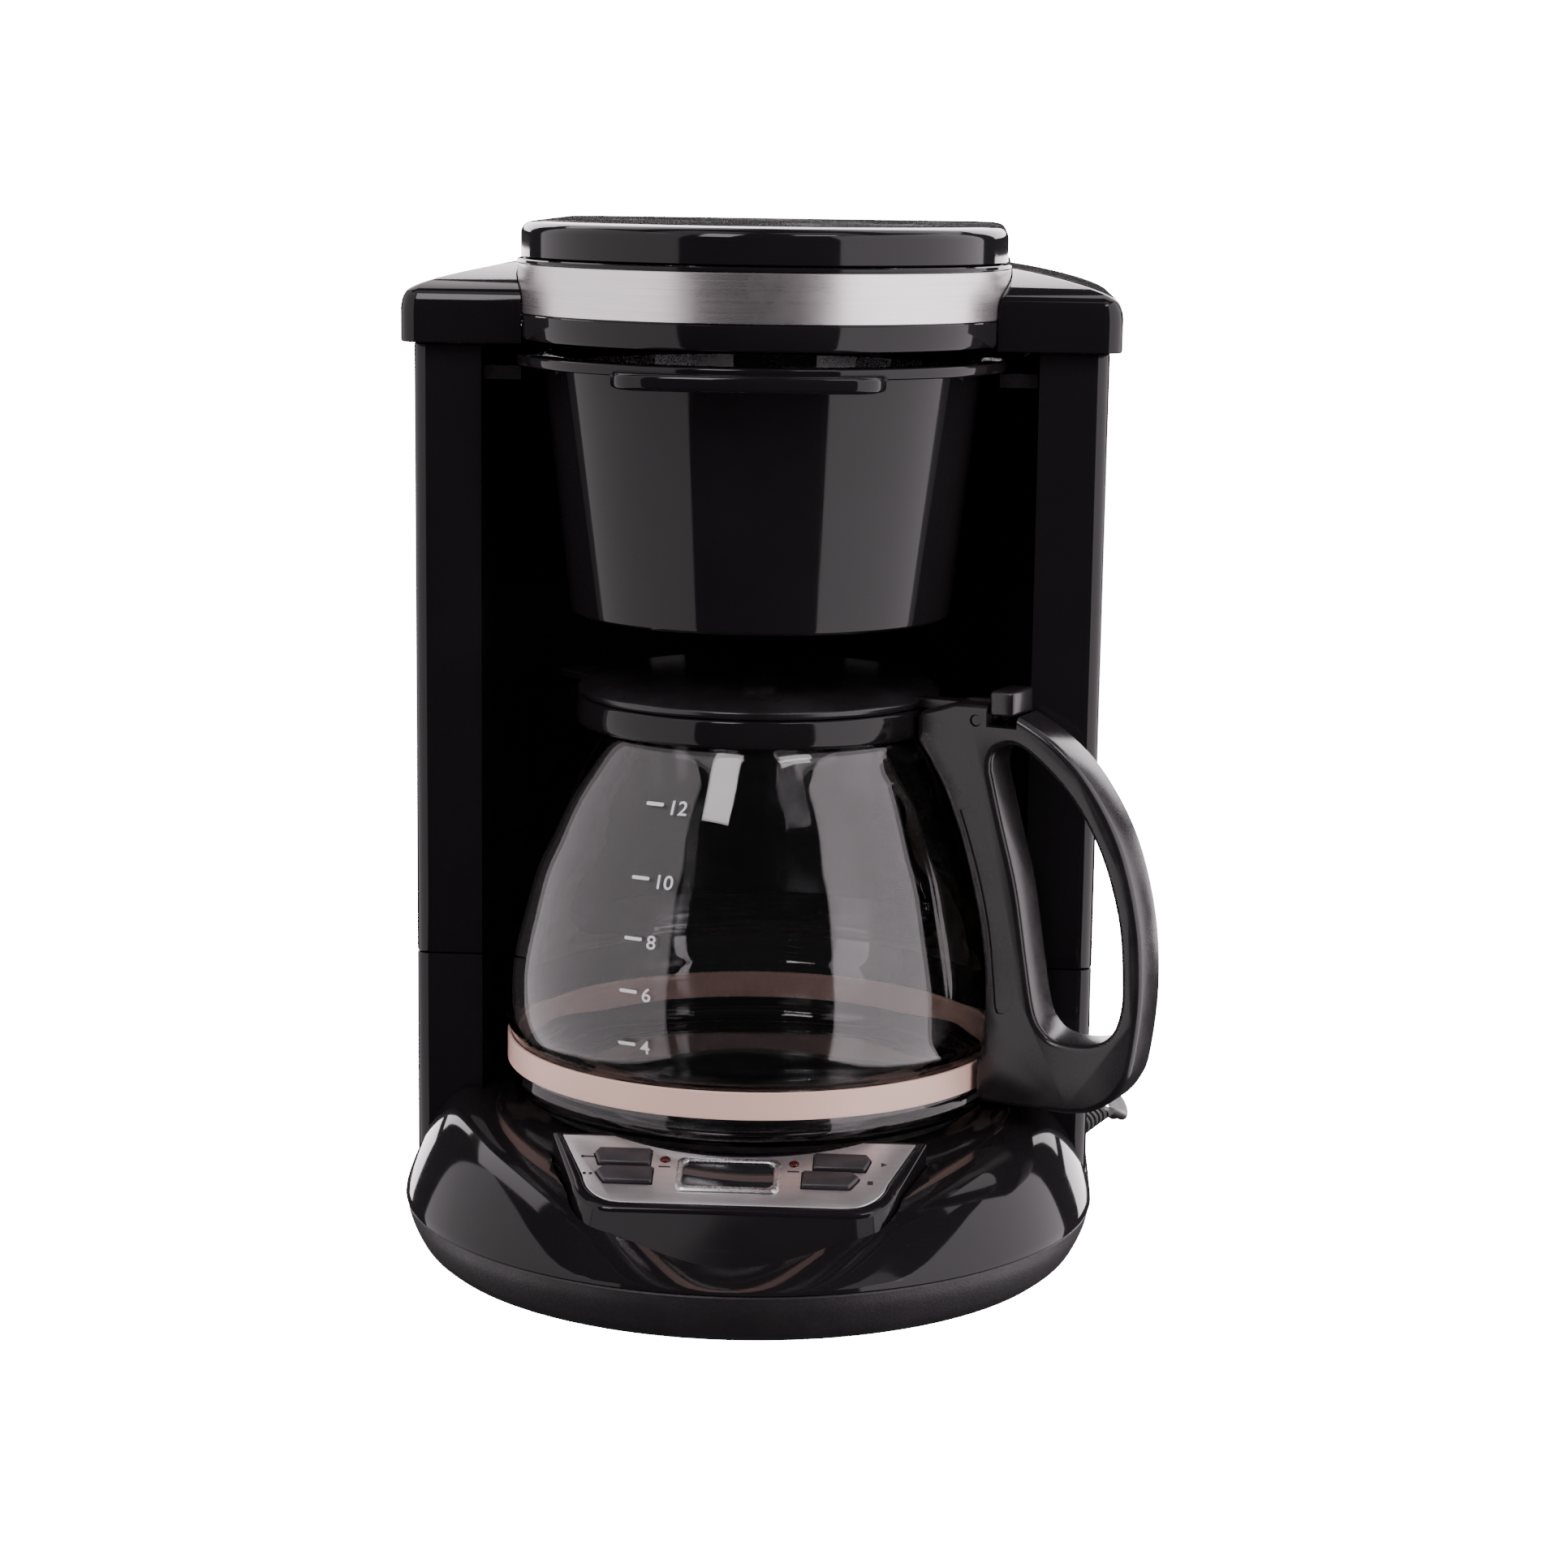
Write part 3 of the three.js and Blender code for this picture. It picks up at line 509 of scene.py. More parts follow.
@dataclass(frozen=True)
class GrainedPlastic(Finish):
    """Plastic with a moulded leather-like grain."""

    colour: Colour = (0.011, 0.0095, 0.011)
    roughness: float = 0.4
    pitch: float = 1.4

    def make(self, graph: Graph) -> bpy.types.Material:
        """Fills the graph."""
        cells = graph.node("ShaderNodeTexVoronoi", {}, {
            "Vector": graph.place(), "Scale": self.pitch}, "Distance")
        rubbed = graph.ramp(graph.noise(0.05, 4), (0.42, 0), (0.7, 1))
        return graph.dress(
            Base_Color=graph.blend(rubbed * 0.7 + cells * 0.3, self.colour, tuple(2.4 * v for v in self.colour)),
            Roughness=self.roughness + 0.12 * cells - 0.06 * rubbed, IOR=1.48,
            Normal=graph.bump(cells + 0.4 * graph.noise(3.5, 3), 0.06, 0.5))


@dataclass(frozen=True)
class BrushedMetal(Finish):
    """Metal brushed in long fine lines."""

    colour: Colour = (0.56, 0.53, 0.53)
    roughness: float = 0.2
    stretch: Colour = (0.012, 0.012, 3.2)
    depth: float = 0.01

    def make(self, graph: Graph) -> bpy.types.Material:
        """Fills the graph."""
        lines = graph.noise(1, 5, self.stretch)
        deep = graph.ramp(graph.noise(0.6, 2, self.stretch), (0.62, 0), (0.72, 1))
        smudge = graph.ramp(graph.noise(0.045, 4), (0.45, 0), (0.75, 1))
        dark = tuple(0.62 * value for value in self.colour)
        return graph.dress(
            Base_Color=graph.blend(lines * 0.6 + deep * 0.25, self.colour, dark), Metallic=1.0,
            Roughness=self.roughness + 0.16 * lines + 0.08 * smudge,
            Normal=graph.bump(lines, self.depth, 0.5))


@dataclass(frozen=True)
class ClearGlass(Finish):
    """Blown glass, clear, with a slight waviness."""

    tint: Colour = (0.985, 0.98, 0.985)

    def make(self, graph: Graph) -> bpy.types.Material:
        """Fills the graph."""
        wave = graph.noise(0.02, 1, (1, 1, 2.2))
        film = graph.ramp(graph.noise(0.08, 5), (0.55, 0), (0.8, 1))
        return graph.dress(
            Base_Color=graph.blend(film * 0.4, self.tint, tuple(0.96 * v for v in self.tint)), IOR=1.47,
            Roughness=0.004 + 0.02 * film, Transmission_Weight=1.0,
            Normal=graph.bump(wave, 0.6, 0.12))


@dataclass(frozen=True)
class Paint(Finish):
    """An even satin paint or ink with a fine speckle."""

    colour: Colour
    roughness: float = 0.35
    metallic: float = 0.0

    def make(self, graph: Graph) -> bpy.types.Material:
        """Fills the graph."""
        speckle = graph.noise(3, 3)
        cloud = graph.noise(0.05, 3)
        return graph.dress(
            Base_Color=graph.blend(speckle * 0.35 + cloud * 0.4, self.colour, tuple(0.82 * v for v in self.colour)),
            Roughness=self.roughness + 0.1 * speckle, Metallic=self.metallic,
            Normal=graph.bump(speckle, 0.01, 0.5))


@dataclass(frozen=True)
class Rubbery(Finish):
    """Rubber or silicone with a dull bloom."""

    colour: Colour = (0.012, 0.012, 0.012)
    roughness: float = 0.62
    clear: float = 0.0

    def make(self, graph: Graph) -> bpy.types.Material:
        """Fills the graph."""
        bloom = graph.ramp(graph.noise(0.12, 5), (0.4, 0), (0.75, 1))
        pores = graph.noise(5, 2)
        return graph.dress(
            Base_Color=graph.blend(bloom * 0.6, self.colour, tuple(1.3 * v + 0.015 for v in self.colour)),
            Roughness=self.roughness + 0.15 * bloom, IOR=1.42, Transmission_Weight=self.clear,
            Normal=graph.bump(pores, 0.03, 0.5))


@dataclass(frozen=True)
class Board(Finish):
    """A circuit board: green mask over copper tracks."""

    colour: Colour = (0.012, 0.09, 0.03)

    def make(self, graph: Graph) -> bpy.types.Material:
        """Fills the graph."""
        tracks = graph.node("ShaderNodeTexBrick", {"offset": 0.35}, {
            "Vector": graph.place((1, 1, 1)), "Scale": 0.35, "Mortar Size": 0.06, "Brick Width": 0.9}, "Fac")
        vias = graph.ramp(graph.node("ShaderNodeTexVoronoi", {}, {
            "Vector": graph.place(), "Scale": 0.3}, "Distance"), (0.12, 1), (0.16, 0))
        light = tuple(2.2 * value + 0.02 for value in self.colour)
        return graph.dress(
            Base_Color=graph.blend(tracks * 0.7 + vias, self.colour, light), Roughness=0.35 + 0.2 * vias,
            Normal=graph.bump(tracks, 0.04, 0.4))


@dataclass(frozen=True)
class Readout(Finish):
    """A dark display behind a clear window, with a row of fine segments."""

    row: float = 0.0

    def make(self, graph: Graph) -> bpy.types.Material:
        """Fills the graph."""
        where = graph.node("ShaderNodeSeparateXYZ", {}, {"Vector": graph.place()}, "X")
        dots = graph.node("ShaderNodeMath", {"operation": "PINGPONG"}, {0: where, 1: 0.45})
        height = graph.node("ShaderNodeSeparateXYZ", {}, {"Vector": graph.place()}, "Y")
        line = graph.node("ShaderNodeMath", {"operation": "COMPARE"}, {0: height, 1: self.row, 2: 0.35})
        marks = (dots > 0.2) * line
        haze = graph.noise(0.09, 4)
        return graph.dress(
            Base_Color=graph.blend(marks * 0.8 + haze * 0.1, (0.006, 0.0065, 0.008), (0.16, 0.16, 0.17)),
            Roughness=0.04 + 0.06 * haze, IOR=1.52, Coat_Weight=0.5, Coat_Roughness=0.02,
            Normal=graph.bump(haze, 0.05, 0.2))


GLOSS = GlossPlastic("black_gloss")
SATIN = SatinPlastic("black_satin")
GRAIN = GrainedPlastic("black_grain")
BAND_STEEL = BrushedMetal("band_steel", colour=(0.92, 0.88, 0.88))
PANEL_STEEL = BrushedMetal("panel_steel", colour=(0.72, 0.69, 0.69), roughness=0.26, stretch=(0.012, 3.2, 3.2))
BRIGHT_STEEL = BrushedMetal("bright_steel", colour=(0.55, 0.55, 0.56), roughness=0.18, stretch=(1, 1, 1), depth=0.004)
CAST_ALUMINIUM = BrushedMetal("cast_aluminium", colour=(0.62, 0.62, 0.63), roughness=0.36, stretch=(2, 2, 2))
GLASS = ClearGlass("clear_glass")
ROSE = Paint("rose_paint", (0.98, 0.66, 0.55))
WHITE_INK = Paint("white_ink", (0.86, 0.86, 0.87), 0.4)
DARK_INK = Paint("dark_ink", (0.02, 0.018, 0.02), 0.45)
COATING = SatinPlastic("plate_coating", colour=(0.012, 0.012, 0.013), roughness=0.3, grain=0.05)
BUTTON = SatinPlastic("button_plastic", colour=(0.018, 0.016, 0.018), roughness=0.3, grain=0.02)
LENS = Paint("lamp_lens", (0.06, 0.006, 0.006), 0.12)
RUBBER = Rubbery("black_rubber")
SILICONE = Rubbery("clear_silicone", colour=(0.6, 0.58, 0.54), roughness=0.35, clear=0.35)
TANK = Rubbery("tank_plastic", colour=(0.8, 0.83, 0.85), roughness=0.22, clear=0.6)
BOARD = Board("circuit_board")
LEAD = SatinPlastic("lead_plastic", colour=(0.008, 0.0075, 0.008), roughness=0.45, grain=0.03)


# Plans shared by several mouldings


def round_front(half: float, front: float, rear: float, corner: float, inset: float = 0, sides: int = 1) -> list[Point]:
    """A plan with a half-round front, straight sides and rounded rear corners.

    Args:
        half: half the width.
        front: where the centre of the round front lies.
        rear: where the back lies.
        corner: the radius of the rear corners.
        inset: how far the plan is drawn in all round.
        sides: how many pieces each straight side has.

    Returns:
        The plan, counterclockwise from the left end of the round front.
    """
    half, rear, corner = half - inset, rear - inset, max(corner - inset, 1)
    return [
        *arc(0, front, half, 180, 360, 96),
        *between((half, front), (half, rear - corner), sides),
        *arc(half - corner, rear - corner, corner, 0, 90, 16),
        *between((half - corner, rear), (corner - half, rear), sides),
        *arc(corner - half, rear - corner, corner, 90, 180, 16),
        *between((-half, rear - corner), (-half, front), sides),
    ]


@dataclass(frozen=True)
class TowerPlan:
    """The plan of the tower: an even wall that wraps round the niche of the carafe."""

    half: float = 102.5
    front: float = -20
    rear: float = 119.5
    front_corner: float = 5
    rear_corner: float = 42
    niche: float = 82

    def outline(self, inset: float = 0) -> list[Point]:
        """The plan drawn in by an inset."""
        half, niche = self.half - inset, self.niche + inset
        near, far = max(self.front_corner - inset, 1), self.rear_corner - inset
        front, rear = self.front + inset, self.rear - inset
        return [
            *arc(half - near, front + near, near, 270, 360, 10),
            *arc(half - far, rear - far, far, 0, 90, 28),
            *arc(far - half, rear - far, far, 90, 180, 28),
            *arc(near - half, front + near, near, 180, 270, 10),
            (-niche, front),
            *arc(0, 0, niche, 180, 0, 112),
            (niche, front),
        ]


def flat(outline: Iterable[Point], z: float) -> list[Vector]:
    """An outline laid level at a height."""
    return [at(x, y, z) for x, y in outline]


# Sub-assemblies


@dataclass
class Base:
    """The foot of the machine: tapered skirt, domed deck with its seat for the warming plate."""

    half: float = 104
    front: float = -21.5
    rear: float = 121
    corner: float = 44
    seam: float = 19
    seat: float = 68
    rim: float = 43
    ridge: float = 0.5
    tower: TowerPlan = field(default_factory=TowerPlan)

    def plan(self, inset: float, sides: int = 1) -> list[Point]:
        """The foot's outline."""
        return round_front(self.half, self.front, self.rear, self.corner, inset, sides)

    def build(self, pod: "ControlPod") -> None:
        """Makes the skirt, the deck and the seat's soft ring."""
        self.skirt()
        self.deck(pod)
        self.gasket()

    def skirt(self) -> None:
        """The matt lower moulding."""
        outer = smooth([(9, 3), (5.4, 6), (3, 10), (1.2, 14.4), (0.4, 18.2)], 5)
        loops = [(9 + WALL, 3), (9.6, 3), *outer[1:], (0.7, self.seam - GAP), (0.4 + WALL, self.seam - GAP),
                 (1.2 + WALL, 14.4), (3 + WALL, 10), (5.4 + WALL, 6)]
        ring = Shape.skin("base_skirt_moulding", [flat(self.plan(inset), z) for inset, z in loops], ring=True)
        turn = Matrix.Rotation(math.radians(CordSet.turn), 3, "Z")
        outlet = Shape.block("outlet", (-13, -5.3, -5.3), (13, 5.3, 5.3), place=lambda x, y, z: at(
            *(turn @ Vector((x, y, z)) + Vector(CordSet.gland))))
        ring.cut(outlet).settle(Body.HOUSING, Slot.MATTE_BLACK, GRAIN, "base_skirt")

    def surface(self, inset: float, span: float) -> list[Vector]:
        """One loop of the deck, from its rim (0) to its seat (1)."""
        loop = []
        for x, y in self.plan(inset, 14):
            reach = math.hypot(x, y)
            inner = ((self.seat + inset) * x / reach, (self.seat + inset) * y / reach)
            side = (x / reach) ** 2
            crown = 36 + 12 * side - 14 * math.exp(-side / 0.13)
            rise = math.sin(math.pi / 2 * span / self.ridge) ** 0.8 if span < self.ridge else 1
            fall = smoothstep((span - self.ridge) / (1 - self.ridge)) if span > self.ridge else 0
            domed = self.seam + 1 + (crown - self.seam - 1) * rise
            loop.append(at(x + (inner[0] - x) * span, y + (inner[1] - y) * span,
                           max(domed + (self.rim - domed) * fall - inset, self.seam)))
        return loop

    def deck(self, pod: "ControlPod") -> None:
        """The glossy upper moulding, cut out for the tower and the control pod."""
        spans = [0, 0.004, 0.012, 0.03, 0.06, 0.1, 0.14, 0.19, 0.24, 0.3, 0.36, 0.43, 0.5, 0.58, 0.66, 0.74, 0.82,
                 0.9, 0.955, 0.985]
        inner = [0.9, 0.74, 0.58, 0.43, 0.3, 0.19, 0.1, 0.03]
        foot = [flat(self.plan(inset, 14), z) for inset, z in ((0.3, self.seam), (0, self.seam + 0.3))]
        seat = [flat([(radius * x / math.hypot(x, y), radius * y / math.hypot(x, y)) for x, y in self.plan(0, 14)], z)
                for radius, z in ((self.seat + 0.4, self.rim), (self.seat, self.rim - 0.5), (self.seat, self.seam),
                                  (self.seat + WALL, self.seam), (self.seat + WALL, self.rim - WALL))]
        under = [self.surface(WALL, span) for span in inner]
        loops = [*foot, *(self.surface(0, span) for span in spans[1:]), *seat, *under,
                 flat(self.plan(WALL, 14), self.seam)]
        shell = Shape.skin("base_deck_moulding", loops, ring=True)
        tower = Shape.prism("tower_foot", self.tower.outline(-GAP), 24, 80)
        shell.cut(tower, pod.body("pod_seat", 2 * GAP, -GAP, GAP))
        shell.settle(Body.HOUSING, Slot.GLOSS_BLACK, GLOSS, "base_deck")

    def gasket(self) -> None:
        """The soft ring between plate and deck."""
        inner, outer = 64.3, self.seat - 2 * GAP
        lip = [(inner, 43.2), (inner + 0.5, 44), (inner + 1.4, 44.4), (outer - 1, 44), (outer, 43.2)]
        Shape.turned("plate_seal_ring", [(inner, 39.6), *lip, (outer, 39.6), (inner, 39.6)]).settle(
            Body.HOUSING, Slot.RUBBER, RUBBER, "plate_gasket")


@dataclass
class WarmingPlate:
    """The round coated plate, with a pressed edge."""

    radius: float = 64
    top: float = 44.7

    def build(self) -> None:
        """Makes the plate."""
        edge = smooth([(self.radius, 43.2), (self.radius - 0.5, 44.2), (self.radius - 1.7, self.top)], 4)
        Shape.turned("warming_plate_coated", [
            (0, 42.9), (self.radius - 2.1, 42.9), (self.radius - 1.5, 38.6), (self.radius, 38.6), *edge,
            (self.radius - 5, self.top), (self.radius - 6, self.top - 0.35), (self.radius - 9, self.top - 0.35),
            (self.radius - 10, self.top), (0, self.top),
        ]).settle(Body.HOUSING, Slot.PLATE_BLACK, COATING, "warming_plate")


@dataclass
class ControlPod:
    """The wedge in front of the carafe, with its brushed panel, buttons, display and lamps."""

    y: float = -81.2
    z: float = 41.3
    tilt: float = 24
    rear_half: float = 51.5
    front_half: float = 44
    half: float = 14.4
    hollow: float = 95
    hollow_centre: float = 19.8
    corner: float = 13

    def face(self, x: float, y: float, z: float) -> Vector:
        """A place in the tilted frame of the panel's face."""
        cos, sin = math.cos(math.radians(self.tilt)), math.sin(math.radians(self.tilt))
        return at(x, self.y + y * cos - z * sin, self.z + y * sin + z * cos)

    def plan(self, grow: float = 0) -> list[Point]:
        """The panel's outline, whose rear edge follows the carafe."""
        rear, front, low = self.rear_half + grow, self.front_half + grow, -self.half - grow
        cos = math.cos(math.radians(self.tilt))
        radius = self.hollow - grow / 3
        back = self.y + (self.half + grow / 3) * cos
        reach = math.sqrt(radius ** 2 - (back - self.hollow_centre) ** 2)
        hollow = []
        for i in range(33):
            x = reach * (1 - i / 16)
            hollow.append((x, (self.hollow_centre - math.sqrt(radius ** 2 - x * x) - self.y) / cos))
        return [
            *arc(self.corner - front, low + self.corner, self.corner, 190, 270, 14),
            *arc(front - self.corner, low + self.corner, self.corner, 270, 350, 14),
            (rear, self.half + grow / 3), *hollow, (-rear, self.half + grow / 3),
        ]

    def foot(self, grow: float, height: float, lower: float = 0, sunk: float = 0) -> list[Vector]:
        """The body's outline where it stands at a height, on its way from its foot to its top."""
        cos = math.cos(math.radians(self.tilt))
        loop = []
        for x, y in self.plan(3 + grow):
            ahead = min(max((2 - y) / 18, 0), 1)
            low = at(x * (1 + 0.06 * ahead), self.y + y * cos - 15 * ahead, 17.5 - sunk)
            top = self.face(x, y, -lower)
            loop.append(low.lerp(top, (height * MM - low.z) / (top.z - low.z)))
        return loop

    def rim(self, grow: float, z: float) -> list[Vector]:
        """The panel's outline at a height in the tilted frame."""
        return [self.face(x, y, z) for x, y in self.plan(grow)]

    def body(self, name: str, grow: float, lower: float, sunk: float) -> Shape:
        """The plain wedge."""
        return Shape.skin(name, [self.foot(grow, 17.5 - sunk, lower, sunk), self.rim(3 + grow, -lower)])

    def build(self) -> None:
        """Makes the pod and all that is on its face."""
        rims = [(3, -1.2), (2.85, -0.7), (2.5, -0.3), (1.9, -0.06), (1.2, 0), (0.55, 0), (0.35, -0.2), (GAP, -1.5),
                (-2.2, -1.5), (-2.2, -3.6), (0.6, -3.6)]
        loops = [self.foot(0, 19.3), *(self.rim(grow, z) for grow, z in rims), self.foot(-WALL, 19.3, 3.6, 3.6)]
        Shape.skin("pod_moulding", loops, ring=True).settle(Body.HOUSING, Slot.GLOSS_BLACK, GLOSS, "control_pod")
        ControlPanel(self).build()


class ButtonSide(Enum):
    """Which end of a button is pointed."""

    LEFT = -1
    RIGHT = 1


@dataclass(frozen=True)
class Button:
    """One push button of the timer, with a pointed outer end."""

    body: Body
    x: float
    y: float
    side: ButtonSide
    point: float
    tip: float
    width: float = 16.4
    height: float = 6.8
    proud: float = 1.3

    def outline(self, grow: float = 0) -> list[Point]:
        """The button from above, in the frame of the panel's face."""
        long, tall, side = self.width / 2 + grow, self.height / 2 + grow, self.side.value
        points = [(-long, -tall), (long - self.point, -tall), (long, self.tip), (long - self.point * 0.8, tall),
                  (-long, tall)]
        return [(self.x + side * x, self.y + y) for x, y in points]

    def build(self, pod: ControlPod) -> None:
        """Makes the button with rounded edges."""
        cap = Shape.prism(f"{self.body.value}_cap", self.outline(), -3, self.proud, pod.face).soften(0.75, 4)
        cap.settle(self.body, Slot.BUTTON_GREY, BUTTON, "button_" + self.body.value.removesuffix("_button"))


@dataclass
class ControlPanel:
    """The brushed face: plate, buttons, display, lamps and printed marks."""

    pod: ControlPod
    display: tuple[float, float, float, float] = (-2, -2, 29, 13.6)
    lamps: tuple[Point, Point] = ((-20.6, 4.6), (16.6, 4.2))
    buttons: tuple[Button, ...] = (
        Button(Body.HOUR_BUTTON, -33, 4.9, ButtonSide.LEFT, 1.6, 1.2),
        Button(Body.MINUTE_BUTTON, -32, -2.9, ButtonSide.LEFT, 2.8, 1.0),
        Button(Body.PROGRAM_BUTTON, 30.5, 4.9, ButtonSide.RIGHT, 1.6, 1.2),
        Button(Body.SET_BUTTON, 27.5, -2.9, ButtonSide.RIGHT, 2.8, 1.0),
    )

    def build(self) -> None:
        """Makes the face and all that it holds."""
        for button in self.buttons:
            button.build(self.pod)
        self.plate()
        self.window()
        self.lenses()
        self.marks()

    def rounded(self, grow: float, corner: float = 2.2) -> list[Point]:
        """The display's outline with round corners, grown all round."""
        x, y, width, height = self.display
        long, tall = width / 2 + grow - corner, height / 2 + grow - corner
        return [*arc(x + long, y - tall, corner, -90, 0, 6), *arc(x + long, y + tall, corner, 0, 90, 6),
                *arc(x - long, y + tall, corner, 90, 180, 6), *arc(x - long, y - tall, corner, 180, 270, 6)]

    def plate(self) -> None:
        """The brushed plate with its openings."""
        rims = [(-0.3, -1.2), (0, -0.9), (0, -0.3), (-0.12, -0.08), (-0.3, 0)]
        plate = Shape.skin("panel_plate", [self.pod.rim(grow, z) for grow, z in rims])
        for index, button in enumerate(self.buttons):
            plate.cut(Shape.prism(f"button_hole_{index}", button.outline(0.35), -5, 5, self.pod.face))
        plate.cut(Shape.prism("display_hole", self.rounded(GAP), -5, 5, self.pod.face))
        for x, y in self.lamps:
            plate.cut(Shape.rod("lamp_hole", self.pod.face(x, y, -5), self.pod.face(x, y, 5), 1.5))
        plate.settle(Body.HOUSING, Slot.BRUSHED_STEEL, PANEL_STEEL, "control_panel")

    def window(self) -> None:
        """The clear window, in a raised bright rim."""
        face = self.pod.face
        steps = [(0, -1.6), (0, 0.1), (-0.12, 0.24), (-0.4, 0.3)]
        pane = Shape.skin("display_pane", [[face(x, y, z) for x, y in self.rounded(grow)] for grow, z in steps])
        pane.settle(Body.HOUSING, Slot.DARK_DISPLAY, Readout("dark_readout"), "display_window")
        steps = [(-1.5, 0.3), (-1.5, 0.75), (-1.2, 1), (-0.2, 1), (0.4, 0.5), (0.5, 0.05), (-0.9, 0.05)]
        rim = Shape.skin("display_rim", [[face(x, y, z) for x, y in self.rounded(grow)] for grow, z in steps],
                         ring=True)
        rim.settle(Body.HOUSING, Slot.BRUSHED_STEEL, BRIGHT_STEEL)

    def lenses(self) -> None:
        """The two oval lamps."""
        for name, (x, y) in zip(("led_auto", "led_on"), self.lamps):
            face = self.pod.face
            steps = [(1.2, -5.4), (1.2, 0.05), (1.05, 0.22), (0.7, 0.3)]
            loops = [[face(x + a, y + b, z) for a, b in arc(0, 0, radius, 0, 348.75, 31)] for radius, z in steps]
            Shape.skin(f"{name}_lens", loops).settle(Body.HOUSING, Slot.LED_RED, LENS, name)

    def marks(self) -> None:
        """Small printed signs in place of words: a dot with a hand, two dots, two bars, a wedge and a square."""
        def ink(name: str, outline: Sequence[Point], x: float, y: float) -> Shape:
            """One flat printed sign."""
            return Shape.prism(name, [(x + a, y + b) for a, b in outline], 0.01, 0.04, self.pod.face)

        dot = arc(0, 0, 0.55, 0, 330, 11)
        bar = [(-1.7, -0.3), (1.7, -0.3), (1.7, 0.3), (-1.7, 0.3)]
        wedge = [(-0.9, -0.9), (0.9, 0), (-0.9, 0.9)]
        square = [(-0.8, -0.8), (0.8, -0.8), (0.8, 0.8), (-0.8, 0.8)]
        signs = ink("panel_signs", dot, -44.6, 5)
        signs.gather(ink("hour_hand", bar, -42.9, 5), ink("minute_dot_1", dot, -43.4, -2.4),
                     ink("minute_dot_2", dot, -41.6, -2.4), ink("lamp_bar_1", bar, -20.6, 1.4),
                     ink("lamp_bar_2", bar, 16.6, 0.9), ink("program_wedge", wedge, 42.6, 5),
                     ink("set_square", square, 38.8, -3.1))
        signs.settle(Body.HOUSING, Slot.BUTTON_GREY, DARK_INK)


@dataclass
class Tower:
    """The water tower behind the carafe: two housings and the domed cover."""

    tower: TowerPlan = field(default_factory=TowerPlan)
    bottom: float = 24.3
    seam: float = 89
    top: float = 273
    cover_half: float = 106
    cover_front: float = -24
    cover_rear: float = 123
    cover_bottom: float = 273.3

    def build(self, head: "Head") -> None:
        """Makes the housings and the cover."""
        self.housing("lower_housing", self.bottom, self.seam - GAP / 2)
        self.housing("upper_housing", self.seam + GAP / 2, self.top)
        self.cover(head)

    def housing(self, node: str, low: float, high: float) -> None:
        """One length of the tower's wall, with softened ends."""
        steps = [(WALL, low), (0.5, low), (0.15, low + 0.15), (0, low + 0.5), (0, high - 0.5), (0.15, high - 0.15),
                 (0.5, high), (WALL, high)]
        loops = [flat(self.tower.outline(inset), z) for inset, z in steps]
        Shape.skin(f"{node}_moulding", loops, ring=True).settle(Body.HOUSING, Slot.GLOSS_BLACK, GLOSS, node)

    def cover_plan(self, inset: float) -> list[Point]:
        """The cover's plan, with a straight front."""
        half, near, far = self.cover_half - inset, max(6 - inset, 1), max(45 - inset, 1)
        front, rear = self.cover_front + inset, self.cover_rear - inset
        return [*arc(near - half, front + near, near, 180, 270, 12), *arc(half - near, front + near, near, 270, 360, 12),
                *arc(half - far, rear - far, far, 0, 90, 32), *arc(far - half, rear - far, far, 90, 180, 32)]

    def cover(self, head: "Head") -> None:
        """The domed cover with its rounded lip, cut out for the head."""
        lip = [(0.5, self.cover_bottom), (0.1, self.cover_bottom + 0.3), (0, self.cover_bottom + 0.8)]
        dome = smooth([(0, 283), (0.9, 286.9), (3.5, 289.4), (12, 292.4), (27, 295.6), (52, 299)], 6)
        inner = [(52, 296.6), (27, 293.2), (12, 290), (5, 287), (2.5, 283.4), (2.4, self.cover_bottom)]
        cover = Shape.skin("tower_cover", [flat(self.cover_plan(inset), z) for inset, z in [*lip, *dome, *inner]],
                           ring=True)
        cover.cut(Shape.prism("head_way", head.plan(-GAP), 260, 320))
        cover.settle(Body.HOUSING, Slot.GLOSS_BLACK, GLOSS, "top_cover")


